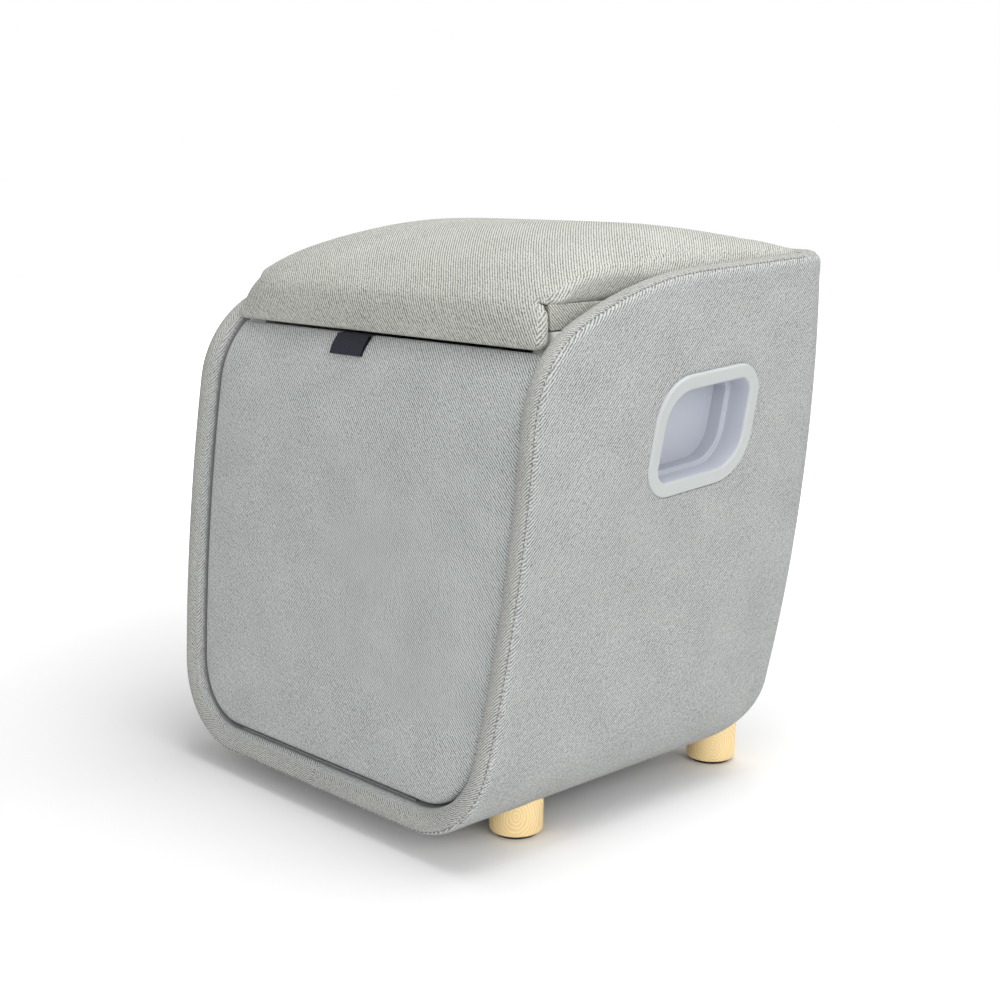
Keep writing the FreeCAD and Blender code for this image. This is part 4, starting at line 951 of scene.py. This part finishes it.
def build_stitching():
    path = seam_path()
    outward = gradient(shell_field, path, 1.5)
    form = bmesh.new()
    for index in range(1, len(path) - 1):
        along = Vector(path[index + 1] - path[index - 1]).normalized()
        out = Vector(outward[index])
        out = (out - along * out.dot(along)).normalized()
        for side in (1, -1):
            flip = Vector((side, 1, 1))
            thread_bead(form, Vector(path[index]) * flip, along * flip, out * flip)
    piece = form_object("rim_stitching", form)
    piece.data.shade_smooth()
    weave_map(piece, lambda points, normals: (points[:, 1], points[:, 2]))
    dress(piece, THREAD, "shell")


# ---------- front cushion
def cushion_weave(points, normals):
    turned = np.abs(normals[:, 0]) > 0.6
    u = np.where(turned, -np.sign(points[:, 0]) * points[:, 2], points[:, 0])
    return u, np.where(turned, points[:, 1], profile_run(points))


SPLIT_HEIGHT, SPLIT_SLOPE, HALF_SPLIT = 395, math.radians(10.7), 1.5
SPLIT_Y = NOSE_Y - math.sqrt((NOSE_RADIUS - PANEL_RECESS) ** 2 - (SPLIT_HEIGHT - NOSE_Z) ** 2)
PANEL_INSET, PANEL_BASE, PANEL_EDGE = 21.5, 40, 8
BOARD_DEPTH, LINER_DEPTH, BOARD_TOP = 21.9, 30.9, 370.5
PAD_ROOM = 4
FRONT_STEP, FRONT_SWELL = 4.0, 5.0


def split_line(p):
    """Distance above the sloping joint between lid and front cushion."""
    y, z = p[:, 1] - SPLIT_Y, p[:, 2] - SPLIT_HEIGHT
    return z * math.cos(SPLIT_SLOPE) + y * math.sin(SPLIT_SLOPE)


def front_field(p):
    """The front cushion: foam before its board, full depth above the board."""
    depth = (p[:, 1] - front_line(p[:, 2])) * math.cos(LEAN)
    face = round_meet(rim_distance(p) + PANEL_RECESS, outline_distance(p)[0] + PANEL_INSET, PANEL_EDGE)
    rear = depth - np.where(p[:, 2] > BOARD_TOP, LINER_DEPTH, BOARD_DEPTH)
    form = round_meet(face, split_line(p) + HALF_SPLIT, 2)
    return np.maximum(round_meet(form, PANEL_BASE - p[:, 2], 3), rear)


def front_hold(p):
    """1 where the cover is glued or sewn down, 0 where the foam may swell."""
    back = np.clip((-rim_distance(p) - PANEL_RECESS - 5) / 5, 0, 1)
    side = np.clip((outline_distance(p)[0] + PANEL_INSET + 12) / 10, 0, 1)
    top = np.clip((split_line(p) + 16) / 12, 0, 1)
    bottom = np.clip((PANEL_BASE + 16 - p[:, 2]) / 12, 0, 1)
    return np.maximum.reduce([back, side, top, bottom])


def upholster(name, field, hold, low, high, step, cap):
    """A foam cushion: the field's form, swollen where it isn't held, with its held edges kept crisp."""
    room = Vector((PAD_ROOM, PAD_ROOM, PAD_ROOM))
    points, faces = surface_net(field, low - room, high + room, step)
    piece = new_object(name, settle(field, points, 4) * MM, faces)
    relax(piece.data, field, 4)
    inflate(piece, hold(mesh_points(piece.data) / MM), cap)
    subdivide(piece)
    points = mesh_points(piece.data) / MM
    crisp = np.clip(hold(points) * 2 - 1, 0, 1)[:, None]
    set_points(piece.data, (points + crisp * (settle(field, points, 2) - points)) * MM)
    weave_map(piece, cushion_weave)
    shade_smooth(piece, 50)
    return piece


def build_front():
    low, high = box_mm("front_cushion")
    piece = upholster("front_pad", front_field, front_hold, low, high, FRONT_STEP, FRONT_SWELL)
    dress(piece, FRONT_CLOTH, "front_flap", "front_cushion")
    return piece


# ---------- lid cushion
lid_low, lid_high = box_mm("lid_cushion")
LID_INSET, LID_EDGE = 22, 7
LID_FALL = 6.5
PROUD_FRONT, PROUD_BACK = 21, 3
PROUD_START, PROUD_RUN, PROUD_RISE = 20, 110, 44
SWING_HALF, SKIRT_BACK, SKIRT_RAMP, SKIRT_WIDER = 188.7, -93, 26, 6
LID_STEP, LID_SWELL = 3.6, 4.0
POCKET_INNER, POCKET_OUTER = 168.0, 184.8
FOLD_ROUND, KEY_ROOM = 1.4, 6


def lid_section():
    """The CAD lid's middle section as signed distances on a grid of depths and heights."""
    form = bmesh.new()
    form.from_mesh(frame["nodes"]["lid_cushion"].data)
    faces = form.verts[:] + form.edges[:] + form.faces[:]
    cut = bmesh.ops.bisect_plane(form, geom=faces, plane_co=(0, 0, 0), plane_no=(1, 0, 0))["geom_cut"]
    edges = [part for part in cut if isinstance(part, bmesh.types.BMEdge)]
    starts = np.array([edge.verts[0].co[1:] for edge in edges]) / MM
    stops = np.array([edge.verts[1].co[1:] for edge in edges]) / MM
    form.free()
    pad = 40
    depths = np.arange(lid_low.y - pad, lid_high.y + pad)
    heights = np.arange(lid_low.z - pad, lid_high.z + pad)
    spots = np.stack(np.meshgrid(depths, heights, indexing="ij"), -1).reshape(-1, 1, 2)
    run = stops - starts
    share = ((spots - starts) * run).sum(-1) / np.maximum((run**2).sum(-1), 1e-12)
    nearest = starts + np.clip(share, 0, 1)[..., None] * run
    reach = np.linalg.norm(spots - nearest, axis=-1).min(-1)
    crosses = (starts[:, 1] > spots[..., 1]) != (stops[:, 1] > spots[..., 1])
    slope = (spots[..., 1] - starts[:, 1]) / np.where(run[:, 1] == 0, 1e-12, run[:, 1])
    inside = (crosses & (spots[..., 0] < starts[:, 0] + slope * run[:, 0])).sum(-1) % 2 == 1
    return depths[0], heights[0], np.where(inside, -reach, reach).reshape(len(depths), len(heights))


def section_distance(p, table):
    low_y, low_z, values = table
    y = np.clip(p[:, 1] - low_y, 0, values.shape[0] - 1.001)
    z = np.clip(p[:, 2] - low_z, 0, values.shape[1] - 1.001)
    i, j = y.astype(int), z.astype(int)
    a, b = y - i, z - j
    return ((1 - a) * (1 - b) * values[i, j] + a * (1 - b) * values[i + 1, j]
            + (1 - a) * b * values[i, j + 1] + a * b * values[i + 1, j + 1])


def lid_side(p):
    """Distance to the lid's sides: they clear the walls behind the skirt, and widen over it."""
    widening = SKIRT_WIDER * eased((SKIRT_BACK - p[:, 1]) / SKIRT_RAMP)
    return np.maximum(outline_distance(p)[0] + LID_INSET, np.abs(p[:, 0]) - SWING_HALF - widening)


board_low, board_high = box_mm("lid_board")
arms_low, arms_high = box_mm("lid_hinge_arms")
KEYS_TOP = box_mm("power_button")[1].z
LEDGE_TOP = box_mm("steam_tub")[1].z
CAP_TOP = box_mm("filler_cap")[1].z
KEY_NAMES = ("power_button", "timer_button", "heat_up_button", "heat_down_button")
KEYS_FRONT = min(box_mm(name)[0].y for name in KEY_NAMES)


def build_border(name, side):
    """The cushion's cloth turned down over one side of the lid board, cut higher over the keys."""
    inner, outer = board_high.x + 0.3, SWING_HALF - 0.3
    top = board_high.z + 1.5
    raised = max(KEYS_TOP + 0.8, board_low.z - 4)
    low = (LEDGE_TOP if side > 0 else CAP_TOP) + 0.9
    back, front = arms_low.y - 4, board_low.y - 2
    depths = np.linspace(front, back, 64)
    loop = [(y * MM, (low if y < KEYS_FRONT - KEY_ROOM else raised) * MM) for y in depths]
    loop += [(y * MM, top * MM) for y in depths[::-1]]
    piece = prism(name, loop, side * inner * MM, side * outer * MM, along_x)
    soften(piece, FOLD_ROUND, 3, 30)
    apply_modifiers(piece)
    weave_map(piece, lambda points, normals: (points[:, 1], points[:, 2] + points[:, 0]))
    shade_smooth(piece, 60)
    dress(piece, LID_CLOTH, "lid")


def lid_field(table):
    def field(p):
        """The lid's section, drawn down to the rim as it nears the side walls."""
        section = section_distance(p, table)
        proud = PROUD_BACK + (PROUD_FRONT - PROUD_BACK) * eased((PROUD_START - p[:, 1]) / PROUD_RUN)
        proud = proud * np.clip((p[:, 2] - SPLIT_HEIGHT) / PROUD_RISE, 0, 1) - 1
        rim = rim_distance(p) - proud
        half = np.minimum(outline_half(np.clip(p[:, 2], BASE, TOP)) - LID_INSET, SWING_HALF)
        share = np.clip(np.abs(p[:, 0]) / half, 0, 1) ** LID_FALL
        top = section + share * np.maximum(rim - section, 0)
        return round_meet(top, lid_side(p), LID_EDGE)
    return field


def arm_pockets():
    """Room in the cushion for the hinge arms."""
    near = (arms_low.y - 3, board_high.z - 4)
    far = (arms_high.y + 3, arms_high.z + 0.4)
    loop = [near, (far[0], near[1]), far, (near[0], far[1])]
    loop = [(a * MM, b * MM) for a, b in loop]
    return [prism("pocket", loop, side * POCKET_INNER * MM, side * POCKET_OUTER * MM, along_x)
            for side in (-1, 1)]


def lid_hold(p):
    under = np.clip((434 - p[:, 2]) / 6, 0, 1) * (p[:, 1] > front_line(400, 22))
    side = np.clip((lid_side(p) + 12) / 10, 0, 1)
    back = np.clip((p[:, 1] - 150) / 10, 0, 1)
    front = np.clip((14 - split_line(p)) / 10, 0, 1)
    return np.maximum.reduce([under, side, back, front])


def build_lid():
    field = lid_field(lid_section())
    piece = upholster("lid_pad", field, lid_hold, lid_low, lid_high, LID_STEP, LID_SWELL)
    carve(piece, arm_pockets())
    dress(piece, LID_CLOTH, "lid", "lid_cushion")


# ---------- ribbons
def ribbon(name, path, low_x, high_x, thick, columns=12):
    """A flat woven band: a path in depth and height, drawn across x, with real thickness."""
    path = [np.array(p, float) for p in path]
    form = bmesh.new()
    rows = []
    for index, spot in enumerate(path):
        ahead = path[min(index + 1, len(path) - 1)] - path[max(index - 1, 0)]
        out = np.array([-ahead[1], ahead[0]]) / max(np.linalg.norm(ahead), 1e-9)
        row = []
        for half in (thick / 2, -thick / 2):
            y, z = spot + out * half
            row.append([form.verts.new(Vector((low_x + (high_x - low_x) * c / columns, y, z)) * MM)
                        for c in range(columns + 1)])
        rows.append(row)
    for first, second in zip(rows, rows[1:]):
        for near, far in zip(first, second):
            for c in range(columns):
                form.faces.new((near[c], near[c + 1], far[c + 1], far[c]))
        for c in (0, columns):
            form.faces.new((first[0][c], second[0][c], second[1][c], first[1][c]))
    for row in (rows[0], rows[-1]):
        for c in range(columns):
            form.faces.new((row[0][c], row[0][c + 1], row[1][c + 1], row[1][c]))
    piece = form_object(name, form)
    weave_map(piece, lambda points, normals: (points[:, 0], points[:, 1] + points[:, 2]))
    shade_smooth(piece, 50)
    return piece


TAB_TRIM, TAB_THICK, TAB_FOLD = 1.5, 0.55, 1.6
TAPE_THICK, TAPE_COLUMNS = 0.5, 30
TAPE_LOWER, TAPE_UPPER, TAPE_LOOP, TAPE_LEG = -1.15, 0.1, 3, 20


def build_tab(cushion):
    """A folded ribbon that hangs from the gap and lies on the front cushion."""
    low, high = box_mm("pull_tab")
    tree = BVHTree.FromObject(cushion, bpy.context.evaluated_depsgraph_get())

    def surface(z):
        """The cushion's most forward depth across the ribbon's width."""
        found = []
        for share in (0, 0.25, 0.5, 0.75, 1):
            start = Vector((low.x + (high.x - low.x) * share, TOE - 50, z)) * MM
            hit = tree.ray_cast(start, Vector((0, 1, 0)))[0]
            if hit:
                found.append(hit.y / MM)
        return min(found) if found else high.y

    lip = (lid_low.y + 0.8, SPLIT_HEIGHT - 2.2)
    top_z, fold_z = high.z - 3.5, low.z + 1.2
    heights = np.linspace(top_z, fold_z, 9)
    inner = [(surface(z) - 0.6, z) for z in heights]
    foot = inner[-1][0] - TAB_FOLD
    outer = [(lip[0] + (foot - lip[0]) * share - 0.9 * math.sin(math.pi * share), z - 0.4 * (1 - share))
             for share, z in zip(np.linspace(0, 1, 9), heights)]
    root = (surface(top_z) + 4.5, high.z - 1.4)
    middle = ((inner[-1][0] + outer[-1][0]) / 2, fold_z)
    radius = (inner[-1][0] - outer[-1][0]) / 2
    fold = [(middle[0] + radius * math.cos(a), middle[1] - radius * math.sin(a))
            for a in np.linspace(0, math.pi, 9)[1:-1]]
    back = [(lip[0] + 1.2, lip[1]), (root[0] - 0.4, root[1] + 0.7)]
    path = [root] + inner + fold + outer[::-1] + back
    piece = ribbon("tab_ribbon", path, low.x + TAB_TRIM, high.x - TAB_TRIM, TAB_THICK)
    dress(piece, RIBBON, "tab", "pull_tab")


def build_hinge_tape():
    """The woven hinge: one leg on the base, folded at the pivot, one leg under the front panel."""
    low, high = box_mm("front_hinge_strip")
    hinge = next(joint for joint in frame["joints"] if joint["name"] == "front_hinge")
    pivot_y, pivot_z = hinge["pos_m"][1] / MM, hinge["pos_m"][2] / MM
    lower, upper = pivot_z + TAPE_LOWER, pivot_z + TAPE_UPPER
    radius = (upper - lower) / 2
    turn_y = pivot_y + TAPE_LOOP
    path = [(y, lower) for y in np.linspace(high.y, turn_y, 12)]
    path += [(turn_y - radius * math.sin(a), lower + radius - radius * math.cos(a))
             for a in np.linspace(0, math.pi, 8)[1:-1]]
    path += [(y, upper) for y in np.linspace(turn_y, pivot_y + TAPE_LEG, 8)]
    piece = ribbon("hinge_tape", path, low.x, high.x, TAPE_THICK, TAPE_COLUMNS)
    dress(piece, TAPE, replaced="front_hinge_strip")
    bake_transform(piece)


# ---------- stage, light and camera
DOME_LIGHT, DOME_TILT = 0.46, 0.2
FLOOR_REACH = 6.0
FADE_START, FADE_END = 0.45, 1.5


def soft_lamp(name, place, target, size, power):
    data = bpy.data.lights.new(name, "AREA")
    data.shape = "RECTANGLE"
    data.size, data.size_y = size
    data.energy = power
    lamp = link_object(name, data)
    lamp.location = place
    lamp.rotation_euler = (Vector(target) - Vector(place)).to_track_quat("-Z", "Y").to_euler()


def build_stage():
    turns = ((-1, -1), (1, -1), (1, 1), (-1, 1))
    corners = [(x * FLOOR_REACH, y * FLOOR_REACH, 0) for x, y in turns]
    floor = new_object("studio_floor", corners, [(0, 1, 2, 3)])
    material, tree, bsdf = shader("pale_floor")
    distance = node(tree, "ShaderNodeVectorMath", operation="LENGTH", Vector=object_place(tree))
    fade = node(tree, "ShaderNodeMapRange", interpolation_type="SMOOTHSTEP", From_Min=FADE_START,
                From_Max=FADE_END, Value=distance.outputs["Value"])
    seen = node(tree, "ShaderNodeLightPath").outputs["Is Camera Ray"]
    glow = math_node(tree, "MULTIPLY", fade.outputs["Result"], seen)
    give(tree, bsdf, Base_Color=(0.92, 0.92, 0.92, 1), Roughness=0.8)
    give(tree, bsdf, Emission_Color=(1, 1, 1, 1), Emission_Strength=glow)
    paint(floor, material)
    world = bpy.data.worlds.new("studio")
    world.use_nodes = True
    tree = world.node_tree
    backdrop = tree.nodes["Background"]
    aim = split(tree, node(tree, "ShaderNodeTexCoord").outputs["Generated"])
    dome = plus(tree, times(tree, aim[0], DOME_TILT), DOME_LIGHT)
    seen = node(tree, "ShaderNodeLightPath").outputs["Is Camera Ray"]
    give(tree, backdrop, Color=(1, 1, 1, 1), Strength=math_node(tree, "MAXIMUM", dome, seen))
    bpy.context.scene.world = world
    soft_lamp("key", (3.2, -0.7, 1.5), (0, 0, 0.2), (2.2, 2.2), 34)
    soft_lamp("fill", (0.8, -2.8, 1.1), (0, 0, 0.2), (1.8, 1.4), 21)
    soft_lamp("top", (0.3, 0.4, 2.3), (0, 0, 0.3), (1.6, 1.6), 40)
    bpy.context.scene.view_settings.view_transform = "Standard"


CAMERA_PLACE = (1.04931, -0.98848, 0.52973)
CAMERA_YAW, CAMERA_PITCH = math.radians(46.52), math.radians(11.49)
CAMERA_LENS = 58.908


def build_camera():
    data = bpy.data.cameras.new("camera")
    data.lens = CAMERA_LENS
    data.sensor_width = 36
    camera = link_object("camera", data)
    camera.location = CAMERA_PLACE
    camera.rotation_euler = (math.pi / 2 - CAMERA_PITCH, 0, CAMERA_YAW)
    bpy.context.scene.camera = camera


# ---------- all together
finish_cad_nodes()
build_shell()
build_stitching()
front_pad = build_front()
build_lid()
build_border("lid_border_left", -1)
build_border("lid_border_right", 1)
build_tab(front_pad)
build_hinge_tape()
build_stage()
build_camera()
